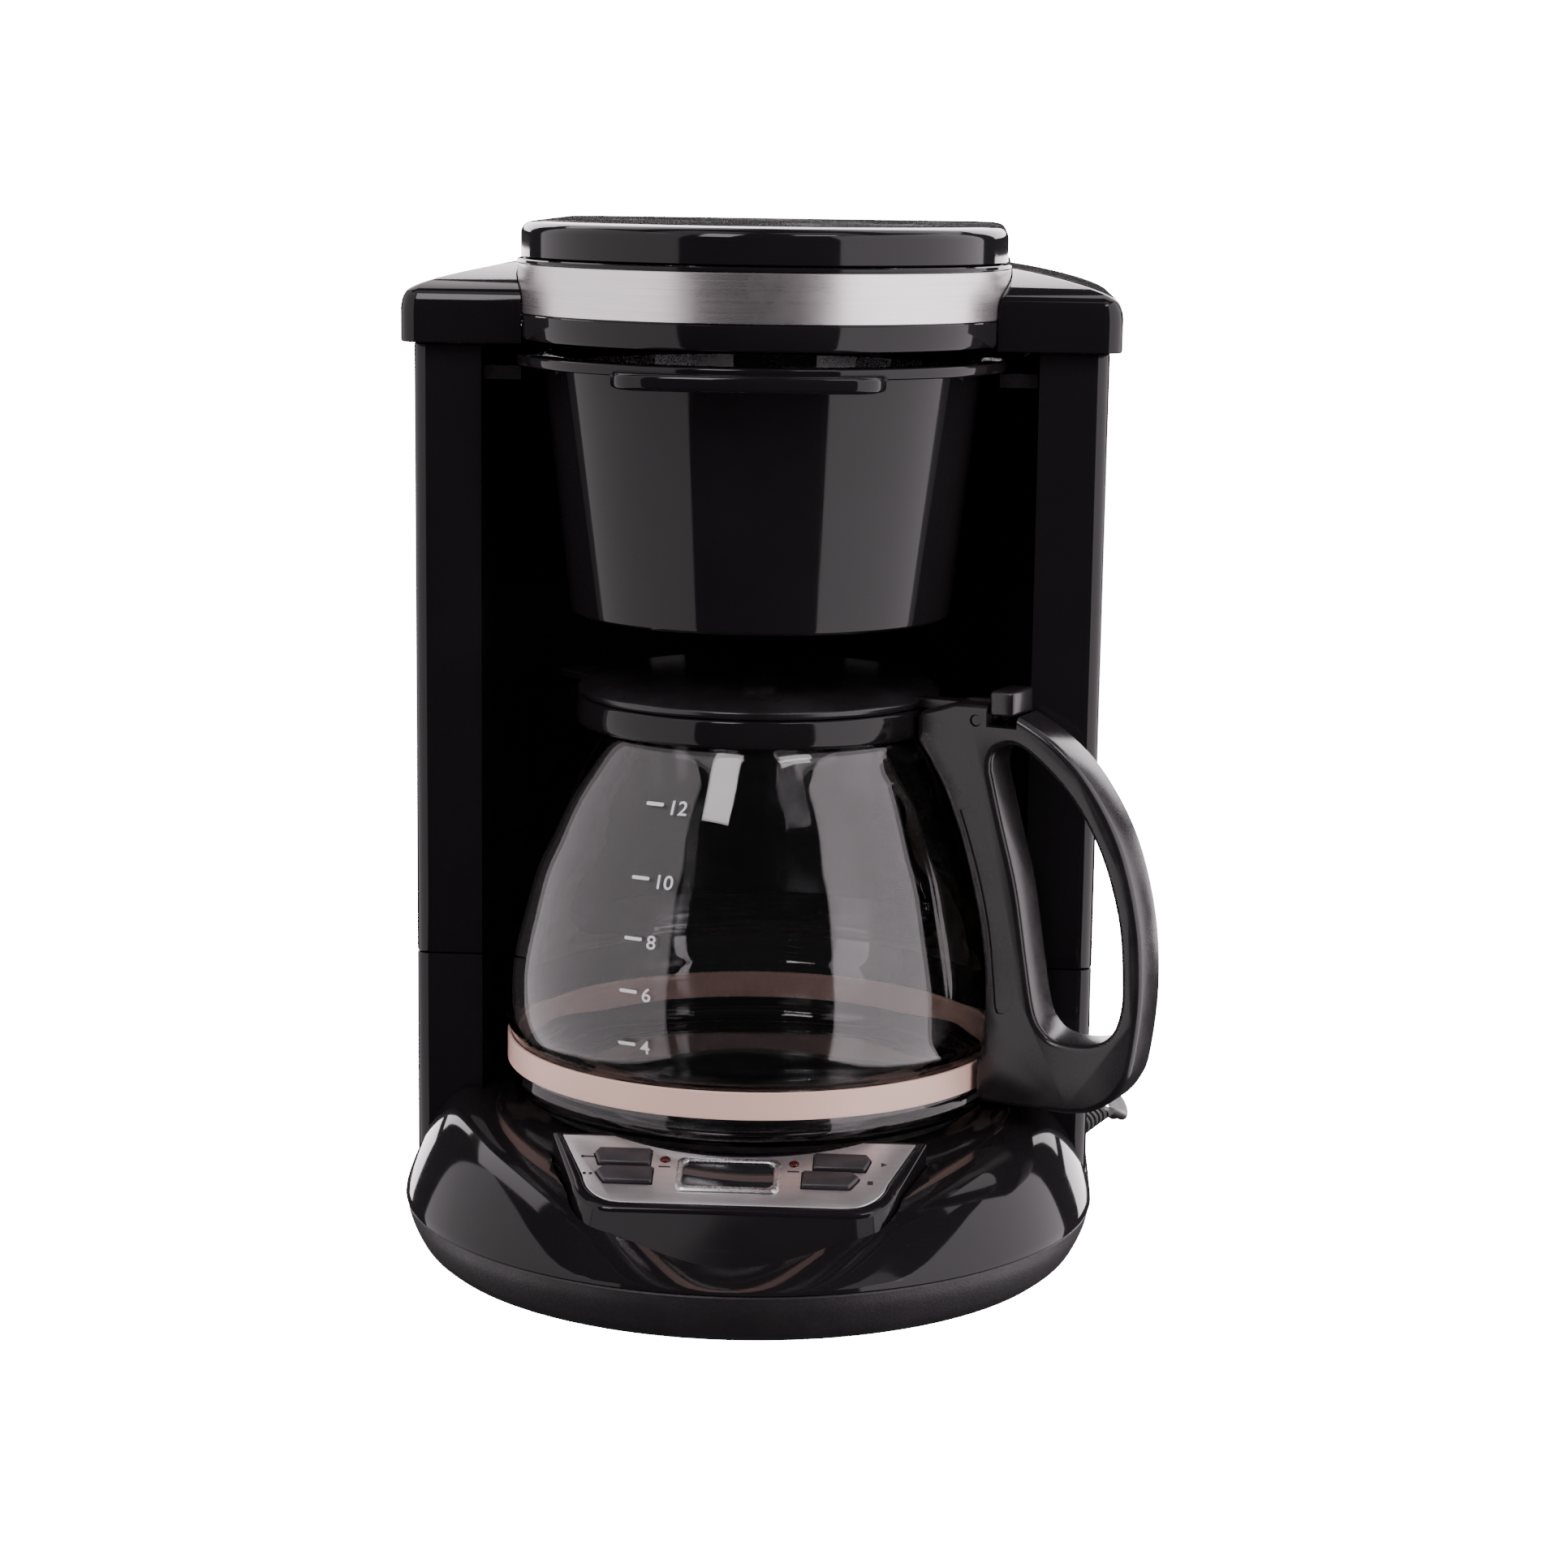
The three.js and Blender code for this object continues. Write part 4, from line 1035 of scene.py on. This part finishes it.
@dataclass
class Head:
    """The brewing head: body, steel band, and the lid on its rear hinge."""

    radius: float = 73.3
    rear: float = 98.3
    corner: float = 14
    bottom: float = 274.5
    band: float = 282.3
    top: float = 298
    lid_inset: float = 1.1
    lid_bottom: float = 298.4
    lid_top: float = 309
    hinge: tuple[float, float] = (92, 303)
    ears: tuple[float, float] = (-36, 30)

    def plan(self, inset: float) -> list[Point]:
        """The head's plan drawn in by an inset."""
        return round_front(self.radius, 0, self.rear, self.corner, inset, 6)

    def build(self) -> None:
        """Makes the head and its lid."""
        self.body()
        self.steel_band()
        self.lid()

    def pin(self, name: str, radius: float, start: float, end: float) -> Shape:
        """A round bar along the hinge line."""
        return Shape.rod(name, at(start, *self.hinge), at(end, *self.hinge), radius)

    def body(self) -> None:
        """The open bowl with a groove for the band and two ears for the hinge."""
        steps = [(1.3, self.bottom), (0.4, self.bottom + 0.35), (0, self.bottom + 1.3), (0, self.band - GAP - 0.2),
                 (0.2, self.band - GAP), (1.3, self.band - GAP), (1.3, self.top - 1.2), (0.2, self.top - 1.2),
                 (0, self.top - 1), (0, self.top - 0.3), (0.3, self.top), (WALL, self.top),
                 (WALL, self.bottom + 2.2)]
        bowl = Shape.skin("head_moulding", [flat(self.plan(inset), z) for inset, z in steps])
        bowl.cut(Shape.block("rear_cut", (-80, 89.5, 289), (80, 120, 320)),
                 Shape.block("rear_step", (-80, 86.5, 297.2), (80, 120, 321)))
        (y, z) = self.hinge
        ear = [(self.rear - 1.5, 285), (self.rear - 1.5, 288), (y + 3.3, 288.8), *arc(y, z, 3.3, 0, 180, 16),
               (y - 3.3, 285)]
        for index, x in enumerate(self.ears):
            bowl.weld(Shape.prism(f"ear_{index}", ear, x, x + 6, lambda a, b, c: at(c, a, b)))
        bowl.cut(self.pin("pin_way", 1.8, -50, 50), Shape.rod("shower_way", at(0, 0, 260), at(0, 0, 290), 30, 96),
                 Shape.rod("riser_way", at(60, 84, 260), at(60, 84, 290), 5.6),
                 Shape.block("fill_way", (-50, 86, 260), (44, 94.5, 280)))
        bowl.settle(Body.HOUSING, Slot.GLOSS_BLACK, GLOSS, "head_body")

    def steel_band(self) -> None:
        """The brushed band in the groove."""
        low, high = self.band, self.top - 1.5
        steps = [(0.95, low), (0.25, low), (0.1, low + 0.15), (0.1, high - 0.15), (0.25, high), (0.95, high)]
        band = Shape.skin("head_steel_band", [flat(self.plan(inset), z) for inset, z in steps], ring=True)
        band.cut(Shape.block("rear_cut", (-90, 59.5, 200), (90, 140, 320)))
        band.settle(Body.HOUSING, Slot.BRUSHED_STEEL, BAND_STEEL, "head_band")

    def lid(self) -> None:
        """The hollow lid with a rounded rim, lugs and notches for the ears."""
        edge = [(3.4 * (1 - math.cos(turn)), 305.3 + 3.4 * math.sin(turn))
                for turn in (math.radians(angle) for angle in range(0, 91, 9))]
        steps = [(0.35, self.lid_bottom), (0, self.lid_bottom + 0.35), *edge, (4.4, 308.9), (9, self.lid_top)]
        inner = [(9, 306.6), (4, 305.6), (2.6, 303.4), (WALL, self.lid_bottom)]
        outline = [flat(self.plan(self.lid_inset + inset), z) for inset, z in steps]
        lid = Shape.skin("lid_moulding", outline)
        hollow = Shape.skin("lid_hollow", [flat(self.plan(self.lid_inset + inset), z) for inset, z in [
            (WALL, self.lid_bottom - 2), (2.6, 303.4), (4, 305.6), (9, 306.6)]])
        lid.cut(hollow)
        for index, x in enumerate((-43, 37.5)):
            lid.weld(Shape.block(f"lug_{index}", (x, 88, 299.5), (x + 5.5, 95, 307.4)))
        lid.cut(self.pin("pin_way", 1.8, -50, 50),
                *(Shape.block(f"ear_notch_{index}", (x - 1.2, 84, 290), (x + 7.2, 97.6, 306.6))
                  for index, x in enumerate(self.ears)))
        lid.settle(Body.LID, Slot.GLOSS_BLACK, GLOSS, "lid")


@dataclass
class BrewBasket:
    """The pull-out basket: a tapered cup under a wide flange with a finger lip."""

    floor: float = 193
    top: float = 269
    bottom_radius: float = 57.5
    top_radius: float = 66
    flange: float = 74
    flange_low: float = 267
    reach: float = 80

    def build(self) -> None:
        """Makes the basket."""
        low, high = self.bottom_radius, self.top_radius
        base = [(low - 2.2, self.floor), (low - 0.9, self.floor + 0.3), (low - 0.2, self.floor + 1), (low, self.floor + 2.2)]
        cup = Shape.turned("brew_basket_moulding", [
            (6.5, self.floor), (8.6, self.floor), (8.6, 188), (11, 188), (11, self.floor), *base,
            (high, self.top), (high - 2.2, self.top), (low - 2.2, self.floor + 4), (low - 3.6, self.floor + 2.2),
            (6.5, self.floor + 2.2), (6.5, self.floor)], 160)
        side = math.sqrt(self.reach ** 2 - self.flange ** 2)
        turn = math.degrees(math.atan2(side, self.flange))
        flange = [*arc(0, 0, self.flange, 180, 360, 96), *arc(0, 0, self.reach, turn, 180 - turn, 72)]
        lip = [(-39, -62), (-39, -66), *smooth([(-38.4, -69.6), (-36, -74.6), (-30, -78.3), (-15, -81), (0, -81.8),
                                                 (15, -81), (30, -78.3), (36, -74.6), (38.4, -69.6)], 6),
               (39, -66), (39, -62)]
        well = Shape.rod("well", at(0, 0, 200), at(0, 0, 300), self.top_radius - 1.1, 160)
        rim = Shape.prism("flange", flange, self.flange_low, self.flange_low + 3.2).soften(0.7, 3)
        tab = Shape.prism("finger_lip", lip, self.flange_low - 3.2, self.flange_low + 1.6).soften(1.4, 4)
        cup.weld(rim.weld(tab).cut(well))
        cup.settle(Body.BASKET, Slot.GLOSS_BLACK, GLOSS, "brew_basket")


@dataclass
class Carafe:
    """The glass carafe with its band, collar, handle and lid; x runs to the handle."""

    turn: float = -23
    width: float = 17
    pin: tuple[float, float] = (75, 167)
    mark_turn: float = -114.7

    def place(self, x: float, y: float, z: float) -> Vector:
        """Metres in the row frame for a place in the carafe's own frame."""
        turn = math.radians(self.turn)
        return at(x * math.cos(turn) - y * math.sin(turn), x * math.sin(turn) + y * math.cos(turn), z)

    def upright(self, x: float, z: float, y: float) -> Vector:
        """A place from a side view: x and z in the view, y across it."""
        return self.place(x, y, z)

    def build(self) -> None:
        """Makes the carafe."""
        wall = self.glass()
        self.scale(wall)
        self.band()
        self.collar()
        self.handle()
        self.lid()

    def glass(self) -> list[Point]:
        """The blown jug, and the profile of its outer wall from the foot to the neck."""
        outer = smooth([(0, 47.4), (28, 47.2), (52, 46.6), (61, 45.1), (68, 45.2), (73, 46.6), (75.6, 50), (75.5, 53.4),
                        (75, 56), (75, 62.4), (75.6, 65.2), (77, 69), (78, 75), (78.1, 82), (77.6, 90), (75.7, 101.5),
                        (72, 119), (67.7, 131), (62.5, 144), (55.8, 156.5), (52.6, 161), (51.6, 163.6),
                        (51.6, 166.4)], 5)
        inner = smooth([(49.4, 166.4), (49.4, 163.2), (50.6, 159.6), (53.8, 155.2), (60.4, 143), (65.5, 130),
                        (69.7, 118.4), (73.4, 101), (75.3, 90), (75.9, 82), (75.7, 75), (74.8, 69.6), (73.4, 65.6),
                        (72.8, 62.4), (72.8, 56), (73.2, 53), (72.6, 50.6), (70.4, 48.7), (67.6, 48), (61, 47.8),
                        (52, 49.2), (28, 49.8), (0, 50)], 5)
        lip = [(51.2, 167.1), (50.5, 167.4), (49.8, 167.1)]
        Shape.turned("carafe_jug", [*outer, *lip, *inner], 160).settle(
            Body.CARAFE, Slot.CARAFE_GLASS, GLASS, "carafe_glass", angle=60)
        return outer

    def scale(self, wall: Sequence[Point]) -> None:
        """White dashes and even numbers of cups, printed on the outside of the glass."""
        def reach(height: float) -> float:
            """The outer radius at a height."""
            for (r0, z0), (r1, z1) in zip(wall[45:], wall[46:]):
                if z0 <= height < z1:
                    return r0 + (r1 - r0) * (height - z0) / (z1 - z0)
            return wall[-1][0]

        def wrap(shape: Shape, height: float) -> Shape:
            """Bends a flat mark, drawn in x and y, round the glass; its z stands off the wall."""
            bpy.ops.object.mode_set(mode="EDIT")
            mesh = bmesh.from_edit_mesh(shape.obj.data)
            for corner in mesh.verts:
                across, up, off = corner.co
                z = height + up
                radius = reach(z) + 0.02 + off
                corner.co = at(*polar(radius, self.mark_turn + math.degrees(across / radius)), z)
            bmesh.update_edit_mesh(shape.obj.data)
            return shape.close()

        marks = []
        for cups, height in ((12, 143.7), (10, 123.3), (8, 106.2), (6, 91.2), (4, 75.8)):
            bpy.ops.object.select_all(action="DESELECT")
            bpy.ops.object.text_add()
            words = bpy.context.object.data
            words.body, words.size, words.align_y, words.resolution_u = str(cups), 5.5, "CENTER", 6
            words.extrude, words.offset = 0.015, 0.05
            bpy.ops.object.convert(target="MESH")
            number = Shape(f"cups_{cups}")
            number.obj.data.transform(Matrix.Translation((4.4, -0.8, 0.015)) @ Matrix.Diagonal((1.12, 1, 1, 1)))
            bpy.ops.object.mode_set(mode="EDIT")
            bpy.ops.mesh.select_all(action="SELECT")
            bpy.ops.mesh.subdivide(number_cuts=1)
            bpy.ops.object.mode_set(mode="OBJECT")
            marks.append(wrap(number, height))
            long = [*arc(2.4, 0, 0.5, -90, 90, 8), *between((2.4, 0.5), (-2.4, 0.5), 8), *arc(-2.4, 0, 0.5, 90, 270, 8),
                    *between((-2.4, -0.5), (2.4, -0.5), 8)]
            dash = Shape.skin(f"dash_{cups}", [[Vector((x, y, z)) for x, y in long] for z in (0, 0.03)])
            dash.activate()
            marks.append(wrap(dash, height))
        marks[0].gather(*marks[1:])
        marks[0].obj.name = "cup_scale"
        marks[0].settle(Body.CARAFE, Slot.CARAFE_GLASS, WHITE_INK)

    def band(self) -> None:
        """The painted band round the foot of the glass."""
        low, high = 55.2, 63.4
        Shape.turned("carafe_painted_band", [
            (75.35, low), (76.1, low), (76.3, low + 0.2), (76.3, high - 0.2), (76.1, high), (75.35, high),
            (75.35, low)], 160).settle(Body.CARAFE, Slot.ROSE_BAND, ROSE, "carafe_band")

    def beak(self, name: str, back: float, tip: float, back_half: float, tip_half: float, low: float,
             high: float) -> Shape:
        """A pointed prism for the pouring side."""
        outline = [(back, back_half), (tip + 3, tip_half + 1.5), (tip, tip_half), (tip - 1.6, 0), (tip, -tip_half),
                   (tip + 3, -tip_half - 1.5), (back, -back_half)]
        return Shape.prism(name, outline, low, high, self.place)

    def collar(self) -> None:
        """The ring round the neck, with its spout."""
        ring = Shape.turned("carafe_neck_ring", [
            (54.3, 159.8), *smooth([(54.9, 159.7), (55.5, 160.4), (55.7, 162), (55.6, 164), (55.2, 166.6),
                                    (54.9, 167.6), (54.3, 168)], 4), (52.2, 168), (52.2, 163.4), (54.3, 159.8)], 160)
        spout = self.beak("spout", -50, -64, 13, 4, 162.5, 168)
        spout.cut(Shape.rod("neck_way", at(0, 0, 150), at(0, 0, 180), 53, 96),
                  self.beak("channel", -50, -63, 9, 2, 164.6, 170))
        ring.weld(spout.soften(0.6, 3)).settle(Body.CARAFE, Slot.SATIN_BLACK, GLOSS, "carafe_collar")

    def handle(self) -> None:
        """The handle, rounded along its edges, with its finger gap."""
        outline = [
            (56.2, 168), (56.2, 159.5),
            *smooth([(59.5, 155), (64.8, 146), (70, 133.5), (74.4, 119), (78, 103), (79.6, 88), (79.4, 68)], 5),
            (77.4, 65), (77.4, 53.5), (80, 52), (107, 52.2),
            *smooth([(109, 52.5), (114, 53.6), (120, 57.2), (124.2, 62.6), (126.8, 70), (128.8, 90), (127.2, 112),
                     (121, 134), (111, 151), (100, 162), (88, 169)], 5),
            (78.6, 171.6), (68, 171.6),
        ]
        gap = smooth([(80, 152), (80.2, 156), (82.5, 159.4), (88, 160.4), (96, 155.4), (106, 145.5), (115, 130.5),
                      (121, 111), (122.6, 92), (122.1, 84), (120, 78.2), (116, 74.6), (110, 73.2), (103, 73.6),
                      (98.6, 76.2), (95.4, 82), (92.6, 97), (89, 118), (83.6, 138), (80, 152)], 5)[:-1]
        half = self.width / 2
        body = Shape.prism("carafe_grip", outline, -half, half, self.upright)
        body.cut(Shape.prism("finger_gap", gap, -20, 20, self.upright)).soften(2, 5)
        x, z = self.pin
        body.cut(
            Shape.rod("pin_way", self.place(x, -20, z), self.place(x, 20, z), 1.8),
            Shape.block("tongue_way", (50, -3.9, 162.6), (80, 3.9, 180), place=self.place),
            Shape.block("thumb_way", (78.4, -20, 165.4), (88, 20, 180), place=self.place),
            Shape.rod("screw_head_way", self.place(88, 0, 40), self.place(88, 0, 54.4), 3.8),
            Shape.rod("screw_way", self.place(88, 0, 40), self.place(88, 0, 66.6), 1.9))
        for side in (-1, 1):
            recess = Shape.prism("web_recess", smooth([(70.5, 140), (76, 140), (84, 120), (87.5, 100), (89.5, 84),
                                                       (84, 80), (82.6, 88), (80.8, 104), (77.2, 120), (72.6, 134.4),
                                                       (70.5, 140)], 3)[:-1], side * half - 0.7, side * half + 0.7,
                                 self.upright)
            body.cut(recess)
        body.settle(Body.CARAFE, Slot.SATIN_BLACK, SATIN, "carafe_handle")

    def lid(self) -> None:
        """The hinged lid with spout cover, tongue and thumb piece."""
        dome = smooth([(54.4, 168.4), (54.9, 169.4), (54.4, 170.8), (49, 173.4), (36, 174.9), (20, 175.7), (0, 176)], 5)
        lid = Shape.turned("carafe_cover", [
            (0, 172.6), (30, 171.8), (46.4, 170.4), (46.4, 161), (48.8, 161), (48.8, 168.4), *dome], 128)
        x, z = self.pin
        pieces = [
            self.beak("spout_cover", -49, -67, 13, 4.4, 168.4, 171).soften(0.6, 3),
            Shape.prism("tongue", [(50, 168.6), (x - 3, 168.6), *arc(x, z, 3.4, 152, 388, 24), (80, 168.6),
                                   (80, 171.3), (50, 171.3)], -3.5, 3.5, self.upright).soften(0.4, 2),
            Shape.block("thumb_piece", (78.8, -7.6, 168.4), (86.6, 7.6, 176), 1.1, self.place),
        ]
        lid.weld(*pieces).cut(Shape.rod("pin_way", self.place(x, -20, z), self.place(x, 20, z), 1.8))
        lid.settle(Body.CARAFE_LID, Slot.SATIN_BLACK, SATIN, "carafe_lid")


@dataclass
class CordSet:
    """The flat twin lead, its strain relief, its stored coil and its two-pin plug."""

    turn = 62
    gland = (99, 84, 8.5)
    width: float = 6.2
    thickness: float = 3.2
    coil: Point = (67, 171)
    outer_turn: float = 43.4
    turns: float = 2.05

    def route(self) -> list[Vector]:
        """The middle of the lead, in metres, from the strain relief to the end of the coil."""
        turn, (x, y, z) = math.radians(self.turn), self.gland
        start = [(x + reach * math.cos(turn), y + reach * math.sin(turn), z) for reach in (27.3, 30, 32.3)]
        run = [*start, (117, 119.5, 5.4), (118.8, 128, 2.6), (119.3, 138, 2), (118.4, 149, 2), (115.8, 160.6, 2)]
        points = smooth(run, 5)
        cx, cy = self.coil
        inner = self.outer_turn - 6.8 * self.turns
        begin, lead = -12, 62
        total = lead + 360 * self.turns
        for step in range(1, int(total / 7.5) + 1):
            angle = 7.5 * step
            if angle < lead:
                radius = 49.9 + (self.outer_turn - 49.9) * smoothstep(angle / lead)
            else:
                radius = self.outer_turn + (inner - self.outer_turn) * (angle - lead) / (360 * self.turns)
            points.append((*polar(radius, begin + angle, cx, cy), 2))
        return [at(*point) for point in points]

    def section(self) -> list[Point]:
        """The outline of two cores side by side, with a groove between them."""
        half, core = self.width / 2, self.thickness / 2
        right = arc(half - core, 0, core, -128, 128, 12)
        return [*right, *((-x, -y) for x, y in right)]

    def build(self) -> None:
        """Makes the lead, strain relief and plug."""
        route = self.route()
        loops = []
        for index, here in enumerate(route):
            ahead = (route[min(index + 1, len(route) - 1)] - route[max(index - 1, 0)]).normalized()
            across = ahead.cross(Vector((0, 0, 1))).normalized()
            up = across.cross(ahead)
            loops.append([here + across * (a * MM) + up * (b * MM) for a, b in self.section()])
        lead = Shape.skin("supply_lead", loops).settle(Body.HOUSING, Slot.CORD_BLACK, LEAD, "cord", "cord_coil")
        self.relief()
        plug = self.plug()

    def relief(self) -> None:
        """The tapered rubber sleeve with its grooves."""
        turn = Matrix.Rotation(math.radians(self.turn), 3, "Z")

        def place(x: float, y: float, z: float) -> Vector:
            """A place in the frame of the outlet, x along the lead."""
            return at(*(turn @ Vector((x, y, z)) + Vector(self.gland)))

        steps = [(3, 4.4)]
        for rib in range(6):
            x, radius = 5 + 3.6 * rib, 4.2 - 0.28 * rib
            steps += [(x, radius), (x + 0.3, radius - 0.7), (x + 1.1, radius - 0.7), (x + 1.4, radius)]
        steps.append((27, 2.6))
        loops = [[place(x, a, b) for a, b in arc(0, 0, radius, 0, 348.75, 31)] for x, radius in steps]
        sleeve = Shape.skin("lead_sleeve", loops)
        sleeve.gather(Shape.block("sleeve_block", (-6.6, -5, -5), (3.4, 5, 5), 0.8, place))
        sleeve.settle(Body.HOUSING, Slot.RUBBER, RUBBER, "strain_relief")

    def plug(self) -> list[bpy.types.Object]:
        """The moulded plug with finger grooves, and its two flat blades."""
        x, y = self.coil
        body = Shape.block("plug_body", (x - 22.5, y - 12, 0.3), (x - 1.5, y + 12, 13), 2.2)
        grooves = [Shape.block(f"groove_{side}_{rib}", (x - 17 + 3.2 * rib, y + side * 12 - 0.8, 2.5),
                               (x - 15.6 + 3.2 * rib, y + side * 12 + 0.8, 10.8))
                   for side in (-1, 1) for rib in range(4)]
        body.cut(*grooves)
        blades = [Shape.block("plug_blades" if side < 0 else "blade", (x - 2, y + side * 6.35 - 0.75, 3.4),
                              (x + 16, y + side * 6.35 + 0.75, 9.7), 0.35) for side in (-1, 1)]
        blades[0].gather(blades[1])
        return [body.settle(Body.HOUSING, Slot.CORD_BLACK, LEAD, "plug"),
                blades[0].settle(Body.HOUSING, Slot.CORD_BLACK, BRIGHT_STEEL, "plug")]


# What is carried over from the frame, and the studio

CARRIED: dict[str, Finish] = {
    **dict.fromkeys(("bottom_cover",), GRAIN),
    **dict.fromkeys(("foot_1", "foot_2", "foot_3", "foot_4", "valve_seal"), RUBBER),
    **dict.fromkeys(("base_screw_1", "base_screw_2", "base_screw_3", "base_screw_4", "lid_hinge_pin", "filter_insert",
                     "valve_spring", "handle_screw", "thermal_fuse"), BRIGHT_STEEL),
    **dict.fromkeys(("basket_rail_left", "basket_rail_right", "shower_head", "carafe_lid_pin"), SATIN),
    **dict.fromkeys(("heater_element", "heater_water_tube", "thermostat"), CAST_ALUMINIUM),
    **dict.fromkeys(("drip_valve", "check_valve", "inlet_hose", "outlet_hose"), SILICONE),
    **dict.fromkeys(("water_tank", "riser_tube"), TANK),
    **dict.fromkeys(("control_board", "display_module"), BOARD),
}


def dress_carried() -> None:
    """Gives every CAD node that shows its own finish."""
    for name, finish in CARRIED.items():
        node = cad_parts[name]
        node.data.materials.clear()
        node.data.materials.append(finish.material())
        log.info("%s: carried over", name)


@dataclass(frozen=True)
class SoftBox:
    """A plain area light that faces a place near the machine."""

    name: str
    turn: float
    distance: float
    height: float
    width: float
    tall: float
    radiance: float
    aim: float = 0.15
    across: float = 0.0

    def build(self) -> None:
        """Makes the light; turn is from the camera's side of the machine, to the right."""
        data = bpy.data.lights.new(self.name, "AREA")
        data.shape, data.size, data.size_y = "RECTANGLE", self.width, self.tall
        data.energy = self.radiance * math.pi * self.width * self.tall
        data.color = (1.0, 0.92, 0.965)
        light = bpy.data.objects.new(self.name, data)
        turn = math.radians(self.turn)
        light.location = (self.distance * math.sin(turn) + self.across, -self.distance * math.cos(turn), self.height)
        light.rotation_euler = (Vector((0, 0, self.aim)) - light.location).to_track_quat("-Z", "Y").to_euler()
        light.visible_camera = False
        bpy.context.scene.collection.objects.link(light)


@dataclass
class Studio:
    """Camera, lights, and a plain pale floor."""

    place: tuple[float, float, float] = (0.0567, -1.0207, 0.3266)
    heading: float = 3.16
    fall: float = 10.33
    roll: float = 0.8
    lens: float = 78.26
    boxes: tuple[SoftBox, ...] = (
        SoftBox("left_box", -80, 1.5, 0.5, 2.9, 3.2, 1.4, aim=0.5),
        SoftBox("right_box", 82, 1.5, 0.5, 2.9, 3.2, 2.6, aim=0.5),
        SoftBox("rear_low_box", 180, 2.2, -0.08, 3.6, 0.66, 6.0, aim=-0.08),
        SoftBox("rear_box", 180, 2.2, 1.2, 3.6, 1.4, 5.0, aim=1.2),
        SoftBox("left_top_box", 180, 1.3, 2.1, 1.4, 1.2, 2.6, across=-0.92),
        SoftBox("right_top_box", 180, 1.3, 2.1, 1.4, 1.2, 1.8, across=0.84),
        SoftBox("left_high_box", 0, 0.7, 2.2, 1.0, 1.3, 1.2, across=-0.8),
        SoftBox("right_high_box", 0, 0.7, 2.2, 1.0, 1.3, 1.2, across=0.8),
        SoftBox("left_window", -21, 1.5, 1.65, 0.5, 1.0, 9.0),
        SoftBox("right_window", 34, 1.5, 2.2, 0.7, 0.26, 10.0),
    )

    def camera(self) -> None:
        """Makes the camera."""
        data = bpy.data.cameras.new("camera")
        data.lens, data.sensor_width = self.lens, 36
        camera = bpy.data.objects.new("camera", data)
        camera.matrix_world = (
            Matrix.Translation(self.place) @ Matrix.Rotation(math.radians(self.heading), 4, "Z")
            @ Matrix.Rotation(math.radians(90 - self.fall), 4, "X") @ Matrix.Rotation(math.radians(self.roll), 4, "Z"))
        bpy.context.scene.collection.objects.link(camera)
        bpy.context.scene.camera = camera

    def room(self) -> None:
        """Makes the floor, the pale surroundings and the lights."""
        bpy.ops.object.select_all(action="DESELECT")
        bpy.ops.mesh.primitive_plane_add(size=60)
        floor = bpy.context.object
        floor.name = "floor"
        paper = Graph("pale_paper")
        fibre = paper.noise(0.4, 4)
        floor.data.materials.append(paper.dress(
            Base_Color=paper.blend(fibre * 0.2, (0.9, 0.9, 0.9), (0.86, 0.86, 0.86)), Roughness=0.9,
            Emission_Color=(1, 1, 1, 1), Emission_Strength=20.0))
        floor.visible_glossy = floor.visible_diffuse = floor.visible_transmission = floor.visible_shadow = False
        world = bpy.data.worlds.new("surroundings")
        world.use_nodes = True
        nodes, links = world.node_tree.nodes, world.node_tree.links
        path = nodes.new("ShaderNodeLightPath")
        mix = nodes.new("ShaderNodeMixRGB")
        mix.inputs["Color1"].default_value = (0.05, 0.048, 0.05, 1)
        mix.inputs["Color2"].default_value = (20, 20, 20, 1)
        links.new(path.outputs["Is Camera Ray"], mix.inputs["Fac"])
        links.new(mix.outputs["Color"], nodes["Background"].inputs["Color"])
        bpy.context.scene.world = world
        for box in self.boxes:
            box.build()


def main() -> None:
    """Builds the machine, its camera and its room."""
    logging.basicConfig(level=logging.INFO, format="%(message)s", force=True)
    studio, pod, head = Studio(), ControlPod(), Head()
    studio.camera()
    CordSet().build()
    Base().build(pod)
    WarmingPlate().build()
    pod.build()
    Tower().build(head)
    head.build()
    BrewBasket().build()
    Carafe().build()
    dress_carried()
    studio.room()


if __name__ == "__main__":
    main()
